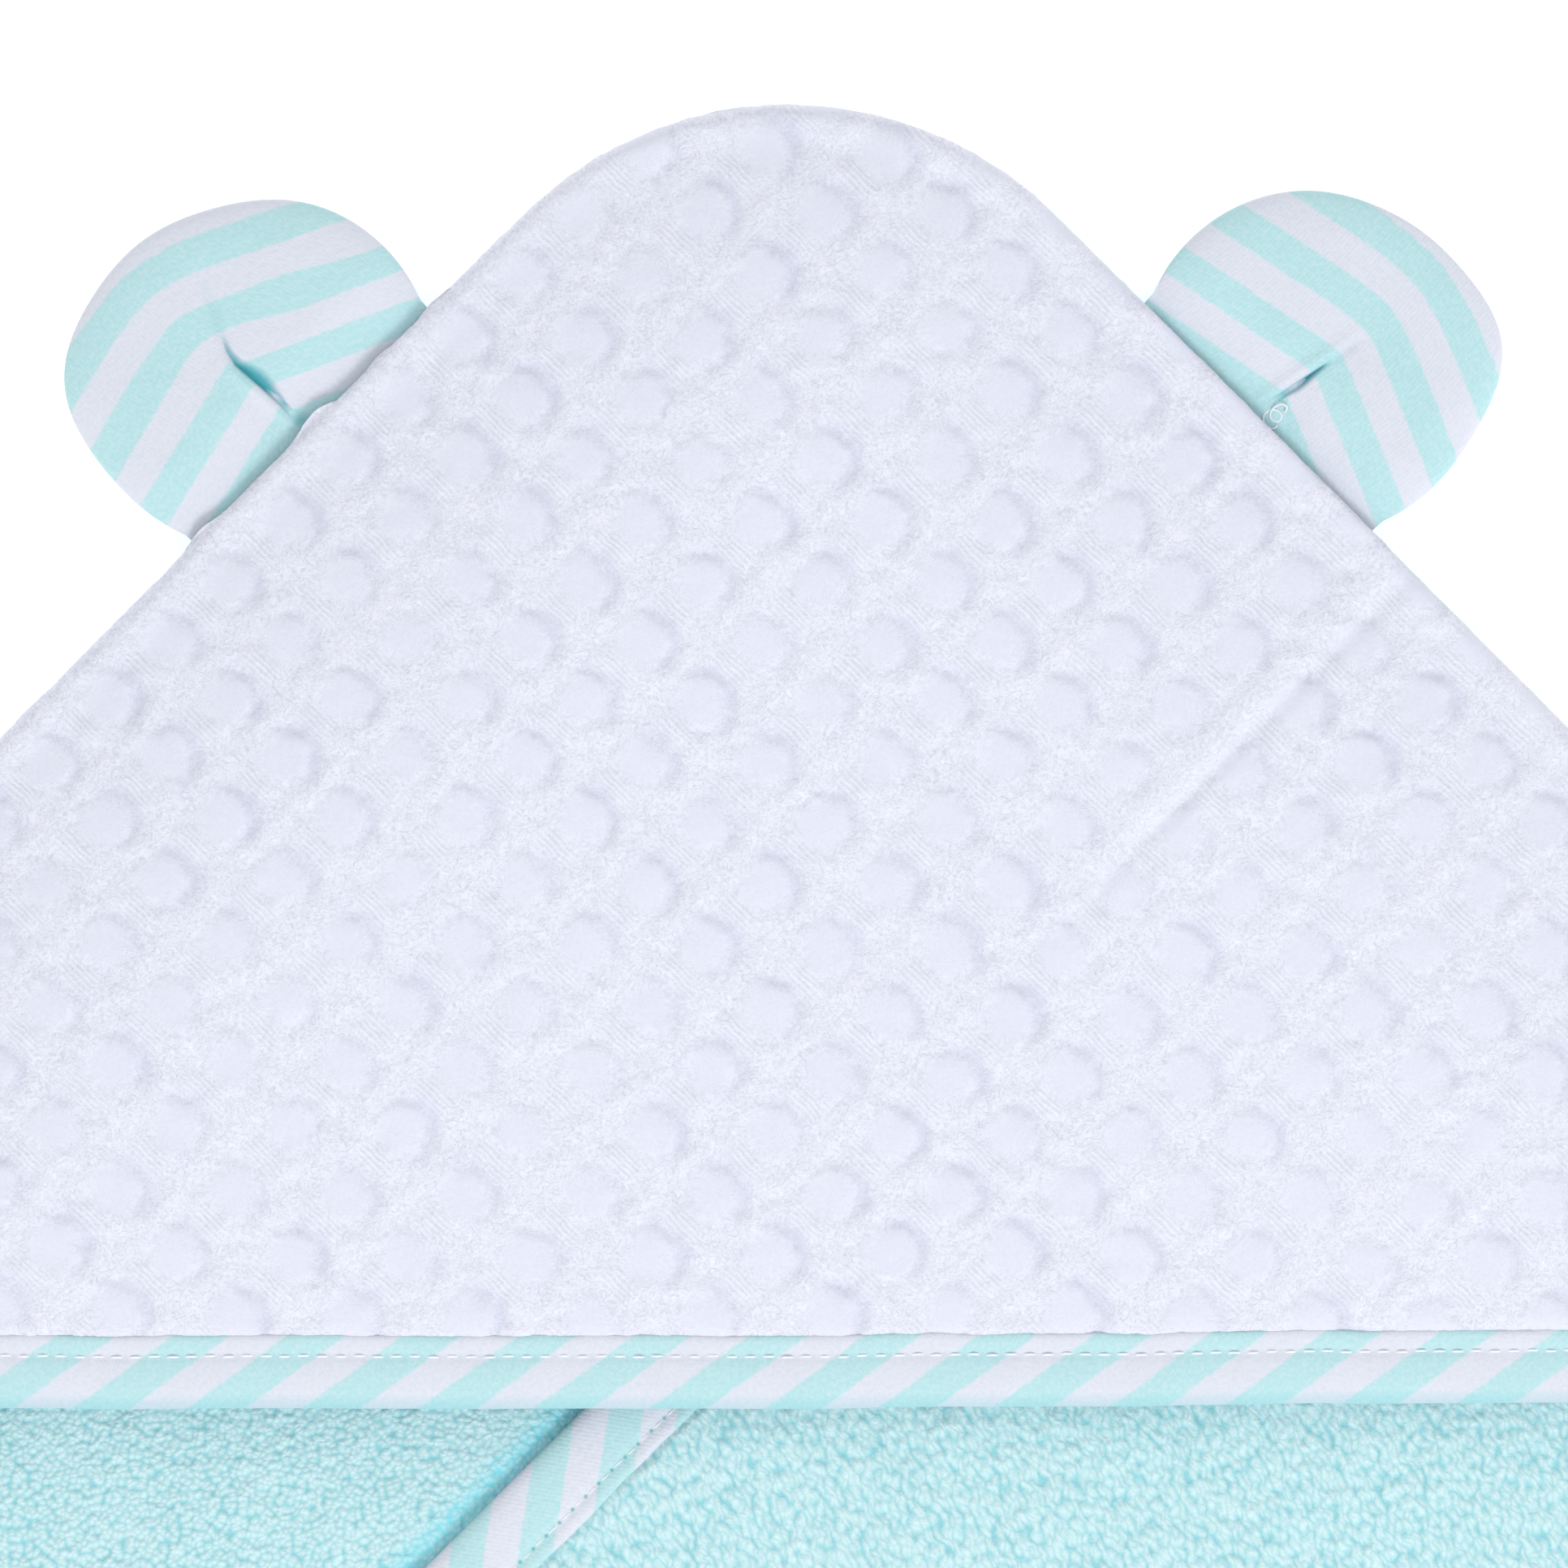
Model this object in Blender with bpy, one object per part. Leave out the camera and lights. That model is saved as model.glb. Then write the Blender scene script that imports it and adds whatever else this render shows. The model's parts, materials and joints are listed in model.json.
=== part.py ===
"""Hooded baby towel, laid flat with its foot corner folded up and tucked under the hood.

Metres, +Z up, +Y towards the tip of the hood. The origin lies on the underside, on the hood's
centre line, halfway between the hood's opening and the fold of the foot.

The towel is one rectangular terry cloth with rounded corners. The hood is a second, triangular
cloth sewn over one corner, with an ear in each seam. The other edges are wrapped in a jersey
binding. Each cloth is divided where it bends, so that the wings, the hood and the ears turn.
"""

import math

import bmesh
import bpy
from mathutils import Vector

# Cut sizes of the cloths.
TOWEL_SHORT_SIDE = 0.660
TOWEL_LONG_SIDE = 0.762
CORNER_RADIUS = 0.057
TERRY = 0.0030  # thickness of the towel and of the hood panel
JERSEY = 0.0006  # thickness of the binding and ear fabric
HOOD_HEIGHT = 0.2205  # from the square corner that the seams point at, down to the hood's front edge
HOOD_SET_BACK = 0.002  # the hood's front edge behind its bending line
FOOT_CLEAR = 0.04337  # from the tucked foot's edge to the hood's seam, along that bending line

# Bindings and thread.
EDGE_BINDING_WIDTH = 0.012
HOOD_BINDING_WIDTH = 0.011
BINDING_PRESSED = 0.0006  # a bound edge is this much thinner than the open terry
THREAD_WIDTH = 0.0008
EDGE_THREAD_INSET = 0.0092
HOOD_THREAD_INSET = 0.0078

# The hood's seam and the pocket under it.
SEAM_EDGE = 0.0015  # from the turned edge to the seam allowance inside it
SEAM_ALLOWANCE = 0.0075
SEAM_ALLOWANCE_HEIGHT = 0.0012
SEAM_THREAD_INSET = 0.0080
RIM_WIDTH = 0.006  # the hood panel lies level this far in from its seams
SLOPE_INSET = 0.056  # and is at its full height this far in
POCKET_GAP = 0.005  # open height between the tucked foot and the hood panel

# Ears.
EAR_RADIUS = 0.0273
EAR_CENTRE_OUT = 0.0118  # the ear's round centre, outside the seam
EAR_ALONG_SEAM = 0.102  # from the square corner to the middle of the ear
EAR_TAB_DEPTH = 0.0062  # how far the ear's root reaches in through the seam
EAR_TAB_HEIGHT = 0.0008
EAR_SHELL = 0.0009
EAR_AXIS_OUT = 0.0026
EAR_START_OUT = 0.0020

# Clearances.
GAP = 0.0003  # between fabrics that touch
SPLIT = 0.0004  # between the two halves of a cloth at a bending line
OVERCUT = 0.001  # how far a cutter passes the end of what it cuts
TUCK = 0.0001  # keeps the faces of joined shapes from lying in one plane
SAME_PLACE = 0.000002  # points closer than this are one point

ARC_STEPS = 14
BEND_STEPS = 8

# Places that follow from the sizes.
ROOT_2 = math.sqrt(2)
WING_X = HOOD_SET_BACK + HOOD_HEIGHT  # the towel's edge crosses the hood's bending line here
CORNER_TO_CORNER = (TOWEL_LONG_SIDE + TOWEL_SHORT_SIDE) / ROOT_2  # from hood to foot, unfolded
FOOT_MIDDLE_X = (TOWEL_LONG_SIDE - TOWEL_SHORT_SIDE) / ROOT_2
FOOT_REACH = WING_X - abs(FOOT_MIDDLE_X) - FOOT_CLEAR  # the foot's square corner, past that line
BODY_LENGTH = (CORNER_TO_CORNER - WING_X - FOOT_REACH) / 2  # from that line to the foot's fold
HOOD_LINE_Y = BODY_LENGTH / 2
FOLD_Y = -BODY_LENGTH / 2
HOOD_FRONT_Y = HOOD_LINE_Y + HOOD_SET_BACK
CORNER_Y = HOOD_FRONT_Y + HOOD_HEIGHT
FLAP_LOW = TERRY + GAP
FLAP_HIGH = FLAP_LOW + TERRY
BINDING_HEIGHT = TERRY - BINDING_PRESSED
ALLOWANCE_LOW = TERRY + GAP
TAB_LOW = ALLOWANCE_LOW + SEAM_ALLOWANCE_HEIGHT + GAP
RIM_LOW = TAB_LOW + EAR_TAB_HEIGHT + GAP
ROOF_LOW = FLAP_HIGH + POCKET_GAP
EAR_AXIS_Z = TAB_LOW + EAR_TAB_HEIGHT / 2
HOOD_BODY_FRONT_Y = HOOD_FRONT_Y + HOOD_BINDING_WIDTH + GAP
LEVEL_Y = HOOD_BODY_FRONT_Y + OVERCUT  # the hood's front strip keeps one height up to here

HALF_SPLIT = SPLIT / 2


def material(name, colour, roughness):
    made = bpy.data.materials.new(name)
    made.use_nodes = True
    shader = made.node_tree.nodes["Principled BSDF"]
    shader.inputs["Base Color"].default_value = (*colour, 1)
    shader.inputs["Roughness"].default_value = roughness
    shader.inputs["Metallic"].default_value = 0
    made.diffuse_color = (*colour, 1)
    return made


# Plan outlines.


def towel_outline(inset):
    """The towel's rounded rectangle, drawn this far inside its edge, counter-clockwise."""
    radius = max(CORNER_RADIUS - inset, TUCK)
    pull_in = inset + radius
    short, long = TOWEL_SHORT_SIDE, TOWEL_LONG_SIDE
    corners = [
        (pull_in, pull_in, 45),
        (short - pull_in, pull_in, 135),
        (short - pull_in, long - pull_in, 225),
        (pull_in, long - pull_in, 315),
    ]
    points = []
    for down_left, down_right, start in corners:
        x = (down_right - down_left) / ROOT_2
        y = CORNER_Y - (down_right + down_left) / ROOT_2
        for step in range(ARC_STEPS + 1):
            angle = math.radians(start + 90 * step / ARC_STEPS)
            points.append((x + radius * math.cos(angle), y + radius * math.sin(angle)))
    return points


def clip(points, side_x, side_y, limit):
    """Keeps the part of a convex outline where side_x * x + side_y * y is at most limit."""
    kept = []
    for (x0, y0), (x1, y1) in zip(points, points[1:] + points[:1]):
        before = side_x * x0 + side_y * y0 - limit
        after = side_x * x1 + side_y * y1 - limit
        if before <= 0:
            kept.append((x0, y0))
        if before * after < 0:
            part = before / (before - after)
            kept.append((x0 + part * (x1 - x0), y0 + part * (y1 - y0)))
    return kept


def folded_up(points, grow):
    """The outline of what lies beyond the foot's fold, turned up over the towel."""
    beyond = clip(points, 0, 1, FOLD_Y + grow)
    return [(x, 2 * FOLD_Y - y) for x, y in reversed(beyond)]


def base_region(limits):
    """An outline of the lower layer at any inset, between limits (side_x, side_y, limit)."""

    def outline(inset, grow=0):
        points = clip(towel_outline(inset), 0, -1, -FOLD_Y - GAP + grow)
        for side_x, side_y, limit in limits:
            points = clip(points, side_x, side_y, limit - HALF_SPLIT + grow)
        return points

    return outline


def flap_region(limits):
    """The same for the foot flap, which reaches down to the fold."""

    def outline(inset, grow=0):
        points = folded_up(towel_outline(inset), grow)
        for side_x, side_y, limit in limits:
            points = clip(points, side_x, side_y, limit - HALF_SPLIT + grow)
        return points

    return outline


# Solids.


def new_object(name, points, faces, helper=False):
    """An object from points and faces. Points that coincide become one."""
    mesh = bpy.data.meshes.new(name)
    mesh.from_pydata(points, [], faces)
    shape = bmesh.new()
    shape.from_mesh(mesh)
    bmesh.ops.remove_doubles(shape, verts=shape.verts, dist=SAME_PLACE)
    bmesh.ops.recalc_face_normals(shape, faces=shape.faces)
    shape.to_mesh(mesh)
    shape.free()
    made = bpy.data.objects.new(name, mesh)
    bpy.context.scene.collection.objects.link(made)
    if helper:
        made.hide_render = True
        made.display_type = "WIRE"
    return made


def prism(name, outline, low, high, helper=False):
    count = len(outline)
    points = [(x, y, low) for x, y in outline] + [(x, y, high) for x, y in outline]
    faces = [list(range(count))[::-1], list(range(count, 2 * count))]
    for this in range(count):
        after = (this + 1) % count
        faces.append([this, after, count + after, count + this])
    return new_object(name, points, faces, helper)


def combine(target, helper, operation):
    modifier = target.modifiers.new(helper.name, "BOOLEAN")
    modifier.operation = operation
    modifier.solver = "EXACT"
    modifier.object = helper


def terry_sheet(name, region, low, fabric):
    """A layer of terry with a thinner tongue where a binding wraps its edge."""
    sheet = prism(name, region(EDGE_BINDING_WIDTH + GAP), low, low + TERRY)
    wrap = JERSEY + GAP
    tongue = prism(
        name + "_tongue",
        region(wrap, -TUCK),
        low + wrap,
        low + BINDING_HEIGHT - wrap,
        helper=True,
    )
    combine(sheet, tongue, "UNION")
    sheet.data.materials.append(fabric)
    return sheet


def add_bend(sheet, region):
    """Turns a flap's lower edge round the fold, down to the table."""
    root_y = FOLD_Y + OVERCUT
    above_root = clip(region(EDGE_BINDING_WIDTH + GAP), 0, -1, -root_y)
    edge = [x for x, y in above_root if y < root_y + TUCK]
    middle_z = TERRY + GAP / 2
    profile = []
    for radius, turn in ((middle_z, 1), (GAP / 2, -1)):
        steps = range(BEND_STEPS + 1)[::turn]
        for step in steps:
            angle = math.pi * step / BEND_STEPS
            y = FOLD_Y - radius * math.sin(angle)
            profile.append((y, middle_z + radius * math.cos(angle)))
    # The bend starts inside the flap, so that they join.
    profile.insert(0, (root_y, middle_z * 2 - TUCK))
    profile.append((root_y, FLAP_LOW + TUCK))
    low_x, high_x = min(edge) + TUCK, max(edge) - TUCK
    count = len(profile)
    points = [(low_x, y, z) for y, z in profile] + [(high_x, y, z) for y, z in profile]
    faces = [list(range(count)), list(range(count, 2 * count))[::-1]]
    for this in range(count):
        after = (this + 1) % count
        faces.append([after, this, count + this, count + after])
    bend = new_object(sheet.name + "_bend", points, faces, helper=True)
    combine(sheet, bend, "UNION")


def edge_band(name, region, outer, inner, low, high):
    """A strip of the outline, from one inset to another."""
    band = prism(name, region(outer), low, high)
    inside = prism(
        name + "_inside", region(inner, OVERCUT), low - OVERCUT, high + OVERCUT, helper=True
    )
    combine(band, inside, "DIFFERENCE")
    return band


def edge_binding(name, region, low, fabric):
    """A binding folded over the edge of a layer, open towards the cloth."""
    high = low + BINDING_HEIGHT
    binding = edge_band(name, region, 0, EDGE_BINDING_WIDTH, low, high)
    slot = prism(
        name + "_slot", region(JERSEY, OVERCUT), low + JERSEY, high - JERSEY, helper=True
    )
    combine(binding, slot, "DIFFERENCE")
    binding.data.materials.append(fabric)


def edge_thread(name, region, low, fabric):
    """The line of stitching that holds a binding, lying on it."""
    start = low + BINDING_HEIGHT + GAP
    inner = EDGE_THREAD_INSET + THREAD_WIDTH
    thread = edge_band(name, region, EDGE_THREAD_INSET, inner, start, low + TERRY)
    thread.data.materials.append(fabric)


# The hood panel, which rises from its seams to leave the pocket open.


def seam_y(x, inset):
    """How far up the hood reaches at x, this far inside its seams and rounded tip."""
    radius = max(CORNER_RADIUS - inset, 0)
    if abs(x) >= radius / ROOT_2:
        return CORNER_Y - abs(x) - inset * ROOT_2
    return CORNER_Y - CORNER_RADIUS * ROOT_2 + math.sqrt(radius**2 - x**2)


def seam_inset(x, y):
    """How far a point of the hood lies inside its seams and rounded tip."""
    above_centre = y - (CORNER_Y - CORNER_RADIUS * ROOT_2)
    if abs(x) < above_centre:
        return CORNER_RADIUS - math.hypot(x, above_centre)
    return (CORNER_Y - abs(x) - y) / ROOT_2


def roof_z(x, y):
    """The height of the hood panel's underside."""
    risen = (seam_inset(x, max(y, LEVEL_Y)) - RIM_WIDTH) / (SLOPE_INSET - RIM_WIDTH)
    return RIM_LOW + (ROOF_LOW - RIM_LOW) * min(max(risen, 0), 1)


def roof_places(front_y, edge_inset):
    """The places across the hood where its outline or its slope changes."""
    places = {0, CORNER_Y - front_y - edge_inset * ROOT_2}
    for inset in (edge_inset, RIM_WIDTH, SLOPE_INSET):
        places.add(CORNER_Y - LEVEL_Y - inset * ROOT_2)
        for step in range(1, ARC_STEPS + 1):
            angle = math.radians(45 * step / ARC_STEPS)
            places.add(max(CORNER_RADIUS - inset, 0) * math.sin(angle))
    return sorted({side * round(place, 6) for place in places for side in (-1, 1)})


def roof_layer(name, front_y, low, high, edge_inset=0, back_y=CORNER_Y, helper=False):
    """A layer between two heights over the hood panel's underside, from front_y to back_y."""
    columns = []
    for x in roof_places(front_y, edge_inset):
        top = max(min(seam_y(x, edge_inset), back_y), front_y)
        breaks = (front_y, LEVEL_Y, seam_y(x, SLOPE_INSET), seam_y(x, RIM_WIDTH), top)
        columns.append([(x, min(max(breaks[: row + 1]), top)) for row in range(len(breaks))])
    rows = len(columns[0])
    points = [
        (x, y, roof_z(x, y) + lift) for lift in (low, high) for column in columns for x, y in column
    ]
    over = len(columns) * rows
    faces = []
    for left in range(0, over - rows, rows):
        right = left + rows
        for a, b in zip(range(left, left + rows - 1), range(right, right + rows - 1)):
            faces.append([a, a + 1, b + 1, b])
            faces.append([over + a, over + b, over + b + 1, over + a + 1])
        for a, b in ((left, right), (right - 1, right + rows - 1)):
            faces.append([a, b, over + b, over + a])
    return new_object(name, points, faces, helper)


# The assembly, cloth by cloth.


def build_towel(terry, jersey, thread):
    """The big cloth with its foot folded up, divided at the wings and at the hood."""
    left, right = (1, 0, -WING_X), (-1, 0, -WING_X)
    between = [(-1, 0, WING_X), (1, 0, WING_X), (0, 1, HOOD_LINE_Y)]
    hood_side = [(0, -1, -HOOD_LINE_Y)]
    left_half = [*between, (1, 0, FOOT_MIDDLE_X)]
    right_half = [*between, (-1, 0, -FOOT_MIDDLE_X)]

    terry_sheet("towel_centre", base_region(between), 0, terry)
    for side, limits in (("left", [left]), ("right", [right])):
        region = base_region(limits)
        terry_sheet(f"towel_{side}_wing", region, 0, terry)
        edge_binding(f"{side}_wing_binding", region, 0, jersey)
        edge_thread(f"{side}_wing_stitching", region, 0, thread)
        region = flap_region(limits)
        add_bend(terry_sheet(f"foot_flap_{side}", region, FLAP_LOW, terry), region)
        edge_binding(f"foot_{side}_corner_binding", region, FLAP_LOW, jersey)
        edge_thread(f"foot_{side}_corner_stitching", region, FLAP_LOW, thread)

    region = flap_region(between)
    add_bend(terry_sheet("foot_flap_centre", region, FLAP_LOW, terry), region)
    for side, limits in (("left", left_half), ("right", right_half)):
        edge_binding(f"foot_{side}_binding", flap_region(limits), FLAP_LOW, jersey)
        edge_thread(f"foot_{side}_stitching", flap_region(limits), FLAP_LOW, thread)

    region = flap_region(hood_side)
    terry_sheet("foot_tip", region, FLAP_LOW, terry)
    edge_binding("foot_tip_binding", region, FLAP_LOW, jersey)
    edge_thread("foot_tip_stitching", region, FLAP_LOW, thread)


def build_hood(terry, hood_terry, jersey, thread):
    """The corner of the towel, the panel over it, and what lies in the seam between them."""
    corner = base_region([(0, -1, -HOOD_LINE_Y)])
    back = prism("hood_back", corner(0), 0, TERRY)
    back.data.materials.append(terry)

    inner = SEAM_EDGE + SEAM_ALLOWANCE
    high = ALLOWANCE_LOW + SEAM_ALLOWANCE_HEIGHT
    allowance = edge_band("hood_seam_allowance", corner, SEAM_EDGE, inner, ALLOWANCE_LOW, high)
    allowance.data.materials.append(hood_terry)
    seam = edge_band(
        "hood_seam_stitching",
        corner,
        SEAM_THREAD_INSET,
        SEAM_THREAD_INSET + THREAD_WIDTH,
        high + GAP,
        high + 2 * GAP,
    )
    seam.data.materials.append(thread)

    wrap = JERSEY + GAP
    panel = roof_layer("hood_panel", HOOD_BODY_FRONT_Y, 0, TERRY)
    tongue = roof_layer(
        "hood_panel_tongue",
        HOOD_FRONT_Y + wrap,
        wrap,
        BINDING_HEIGHT - wrap,
        edge_inset=GAP,
        helper=True,
    )
    combine(panel, tongue, "UNION")
    panel.data.materials.append(hood_terry)

    back_y = HOOD_FRONT_Y + HOOD_BINDING_WIDTH
    binding = roof_layer("hood_front_binding", HOOD_FRONT_Y, 0, BINDING_HEIGHT, back_y=back_y)
    slot = roof_layer(
        "hood_front_binding_slot",
        HOOD_FRONT_Y + JERSEY,
        JERSEY,
        BINDING_HEIGHT - JERSEY,
        edge_inset=-OVERCUT,
        back_y=back_y + OVERCUT,
        helper=True,
    )
    combine(binding, slot, "DIFFERENCE")
    binding.data.materials.append(jersey)

    stitching = roof_layer(
        "hood_front_stitching",
        HOOD_FRONT_Y + HOOD_THREAD_INSET,
        BINDING_HEIGHT + GAP,
        TERRY,
        edge_inset=SEAM_ALLOWANCE,
        back_y=HOOD_FRONT_Y + HOOD_THREAD_INSET + THREAD_WIDTH,
    )
    stitching.data.materials.append(thread)


def ear_outline(start_out):
    """The ear's round outline beyond a line this far outside the seam, about its joint axis."""
    centre = EAR_CENTRE_OUT - EAR_AXIS_OUT
    drop = math.asin((EAR_CENTRE_OUT - start_out) / EAR_RADIUS)
    steps = 2 * ARC_STEPS
    points = []
    for step in range(steps + 1):
        angle = -drop + (math.pi + 2 * drop) * step / steps
        points.append((EAR_RADIUS * math.cos(angle), centre + EAR_RADIUS * math.sin(angle)))
    return points


def build_ear(name, side, jersey):
    """One ear: two jersey shells that turn on the seam, and their root held inside it."""
    hinge = bpy.data.objects.new(f"{name}_hinge", None)
    bpy.context.scene.collection.objects.link(hinge)
    along = Vector((side, -1, 0)) / ROOT_2
    outward = Vector((side, 1, 0)) / ROOT_2
    corner = Vector((0, CORNER_Y, EAR_AXIS_Z))
    hinge.location = corner + EAR_ALONG_SEAM * along + EAR_AXIS_OUT * outward
    hinge.rotation_euler.z = -side * math.radians(45)

    outline = ear_outline(EAR_START_OUT)
    front = prism(f"{name}_front", outline, GAP / 2, GAP / 2 + EAR_SHELL)
    back = prism(f"{name}_back", outline, -GAP / 2 - EAR_SHELL, -GAP / 2)
    half_root = outline[0][0] - EAR_SHELL
    root = [
        (-half_root, -EAR_AXIS_OUT - EAR_TAB_DEPTH),
        (half_root, -EAR_AXIS_OUT - EAR_TAB_DEPTH),
        (half_root, -EAR_START_OUT + SEAM_EDGE / 2),
        (-half_root, -EAR_START_OUT + SEAM_EDGE / 2),
    ]
    tab = prism(f"{name}_root", root, -EAR_TAB_HEIGHT / 2, EAR_TAB_HEIGHT / 2)
    for piece in (front, back, tab):
        piece.parent = hinge
        piece.data.materials.append(jersey)


def main():
    for old in list(bpy.data.objects):
        bpy.data.objects.remove(old, do_unlink=True)
    terry = material("mint terry", (0.55, 0.83, 0.87), 0.95)
    hood_terry = material("white terry", (0.79, 0.82, 0.92), 0.95)
    jersey = material("striped jersey", (0.62, 0.83, 0.85), 0.85)
    thread = material("white thread", (0.86, 0.88, 0.92), 0.7)
    build_towel(terry, jersey, thread)
    build_hood(terry, hood_terry, jersey, thread)
    build_ear("ear_left", -1, jersey)
    build_ear("ear_right", 1, jersey)


main()
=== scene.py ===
"""The looks of the hooded baby towel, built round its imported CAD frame.

Metres, +Z up, +Y towards the tip of the hood. The towel is made as the one cloth that it is: every
point of it has a flat place, before the foot is folded up, and a lift through the cloth's thickness.
The edge binding follows the same cloth round the fold.
"""

import json
import math

import bpy
import numpy as np
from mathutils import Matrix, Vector
from mathutils.geometry import delaunay_2d_cdt


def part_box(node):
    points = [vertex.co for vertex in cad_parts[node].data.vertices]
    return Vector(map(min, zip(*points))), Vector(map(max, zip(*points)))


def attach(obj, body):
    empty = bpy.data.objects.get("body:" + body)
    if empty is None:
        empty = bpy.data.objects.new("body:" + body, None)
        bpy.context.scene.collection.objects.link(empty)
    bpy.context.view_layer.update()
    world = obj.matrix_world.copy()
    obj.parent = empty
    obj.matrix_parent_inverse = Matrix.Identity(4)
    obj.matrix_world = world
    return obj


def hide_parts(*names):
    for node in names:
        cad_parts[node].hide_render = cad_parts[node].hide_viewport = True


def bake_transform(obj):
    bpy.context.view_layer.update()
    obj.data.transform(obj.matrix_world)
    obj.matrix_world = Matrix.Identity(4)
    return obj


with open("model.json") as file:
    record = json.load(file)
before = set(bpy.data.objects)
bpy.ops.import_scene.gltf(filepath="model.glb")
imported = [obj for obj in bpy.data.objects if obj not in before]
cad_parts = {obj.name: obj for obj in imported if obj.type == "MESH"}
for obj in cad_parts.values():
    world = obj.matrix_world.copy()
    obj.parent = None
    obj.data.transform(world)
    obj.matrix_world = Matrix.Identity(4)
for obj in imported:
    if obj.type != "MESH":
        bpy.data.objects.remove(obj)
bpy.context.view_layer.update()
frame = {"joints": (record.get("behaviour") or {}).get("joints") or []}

MM = 0.001
ROOT_2 = math.sqrt(2)

# Cloth and trims.
TERRY = 3.0 * MM
HOOD_TERRY = 3.0 * MM
GAP = 0.3 * MM
CORNER_RADIUS = 57 * MM
EDGE_BINDING = 12 * MM
HOOD_BINDING = 11 * MM
BINDING_HEIGHT = 2.4 * MM
BINDING_LIFT = (TERRY - BINDING_HEIGHT) / 2
STITCH = 2.8 * MM
EDGE_STITCH_INSET = 9.5 * MM
HOOD_STITCH_INSET = 7.9 * MM
STRIPE = 5.1 * MM

# Places, all read from the frame.
JOINTS = {joint["name"]: Vector(joint["pos_m"]) for joint in frame["joints"]}
HOOD_LINE_Y = JOINTS["hood_raise"].y
WING_X = JOINTS["right_wing_wrap"].x
CORNER_Y = HOOD_LINE_Y + WING_X
FOLD_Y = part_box("towel_centre")[0].y - GAP
HOOD_FRONT_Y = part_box("hood_front_binding")[0].y
HOOD_TIP_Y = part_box("hood_panel")[1].y
FOLD_MIDDLE_Z = TERRY + GAP / 2
FOLD_ARC = math.pi * (FOLD_MIDDLE_Z - TERRY / 2)  # the length of cloth that goes round the fold
SHORT_SIDE = ROOT_2 * (-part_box("towel_left_wing")[0].x + (ROOT_2 - 1) * CORNER_RADIUS) + FOLD_ARC / ROOT_2
LONG_SIDE = ROOT_2 * (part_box("right_wing_binding")[1].x + (ROOT_2 - 1) * CORNER_RADIUS) + FOLD_ARC / ROOT_2
ROOF_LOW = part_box("hood_panel")[1].z - HOOD_TERRY
RIM_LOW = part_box("hood_panel")[0].z
RIM_WIDTH = 6 * MM
SLOPE_INSET = 56 * MM

# Where the towel's three pieces meet.
CUT_X = WING_X - 15 * MM
SIDES = {-1: "left", 1: "right"}

# The stretch of terry in front of the hood that the camera sees close up.
NEAR_Y = HOOD_LINE_Y - 26 * MM
NEAR_X = 126 * MM


# Numbers on arrays of points.


def smooth(value, low, high):
    """0 at low, 1 at high, and a soft step between them."""
    t = np.clip((value - low) / (high - low), 0, 1)
    return t * t * (3 - 2 * t)


def hump(value, width):
    """1 where the value is 0, falling softly to both sides over about that width."""
    return np.exp(-((value / width) ** 2))


def noise(x, y, scale, seed):
    """Smooth random values from -1 to 1 with features of about that scale."""
    table = np.random.default_rng(seed).uniform(-1, 1, (256, 256))
    u, v = np.asarray(x) / scale + 97.3, np.asarray(y) / scale + 61.7
    iu, iv = np.floor(u).astype(int), np.floor(v).astype(int)
    fu, fv = u - iu, v - iv
    su, sv = fu * fu * (3 - 2 * fu), fv * fv * (3 - 2 * fv)
    a, b = table[iu % 256, iv % 256], table[(iu + 1) % 256, iv % 256]
    c, d = table[iu % 256, (iv + 1) % 256], table[(iu + 1) % 256, (iv + 1) % 256]
    return (a * (1 - su) + b * su) * (1 - sv) + (c * (1 - su) + d * su) * sv


def swell(x, y):
    """How far the cloth stands off the table where it doesn't lie quite flat."""
    body = 1 - smooth(y, 0.03, 0.12)
    ends = smooth(np.abs(y - FOLD_Y), 0.004, 0.05)
    wave = 0.6 + 0.5 * noise(x, y, 0.075, 21) + 0.35 * noise(x, y, 0.034, 22)
    return 2.6 * MM * body * (0.25 + 0.75 * ends) * np.clip(wave, 0, 2)


# The flat towel.


def towel_outline(inset, step):
    """Points round the flat towel, this far inside its edge and about step apart."""
    radius = max(CORNER_RADIUS - inset, 0.1 * MM)
    pull = inset + radius
    corners = [
        (pull, pull, 45),
        (SHORT_SIDE - pull, pull, 135),
        (SHORT_SIDE - pull, LONG_SIDE - pull, 225),
        (pull, LONG_SIDE - pull, 315),
    ]
    points = []
    for left, right, start in corners:
        centre = ((right - left) / ROOT_2, CORNER_Y - (right + left) / ROOT_2)
        count = max(6, math.ceil(radius * math.pi / 2 / step))
        angles = np.radians(start + 90 * np.arange(count + 1) / count)
        arc = np.stack([centre[0] + radius * np.cos(angles), centre[1] + radius * np.sin(angles)], 1)
        points.extend(arc)
    return spaced(np.array(points), step, closed=True)


def spaced(points, step, closed=False):
    """The same line with its points about step apart. Corners that are there stay."""
    if closed:
        points = np.vstack([points, points[:1]])
    made = []
    for a, b in zip(points[:-1], points[1:]):
        count = max(1, round(math.hypot(*(b - a)) / step))
        made.append(a + (b - a) * np.arange(count)[:, None] / count)
    if not closed:
        made.append(points[-1:])
    return np.vstack(made)


def towel_inset(x, y):
    """How far inside the flat towel's edge a point lies."""
    left, right = (CORNER_Y - y - x) / ROOT_2, (CORNER_Y - y + x) / ROOT_2
    a, b = np.minimum(left, SHORT_SIDE - left), np.minimum(right, LONG_SIDE - right)
    inside = np.minimum(a, b)
    corner = CORNER_RADIUS - np.hypot(CORNER_RADIUS - a, CORNER_RADIUS - b)
    return np.where((a < CORNER_RADIUS) & (b < CORNER_RADIUS), corner, inside)


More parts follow.
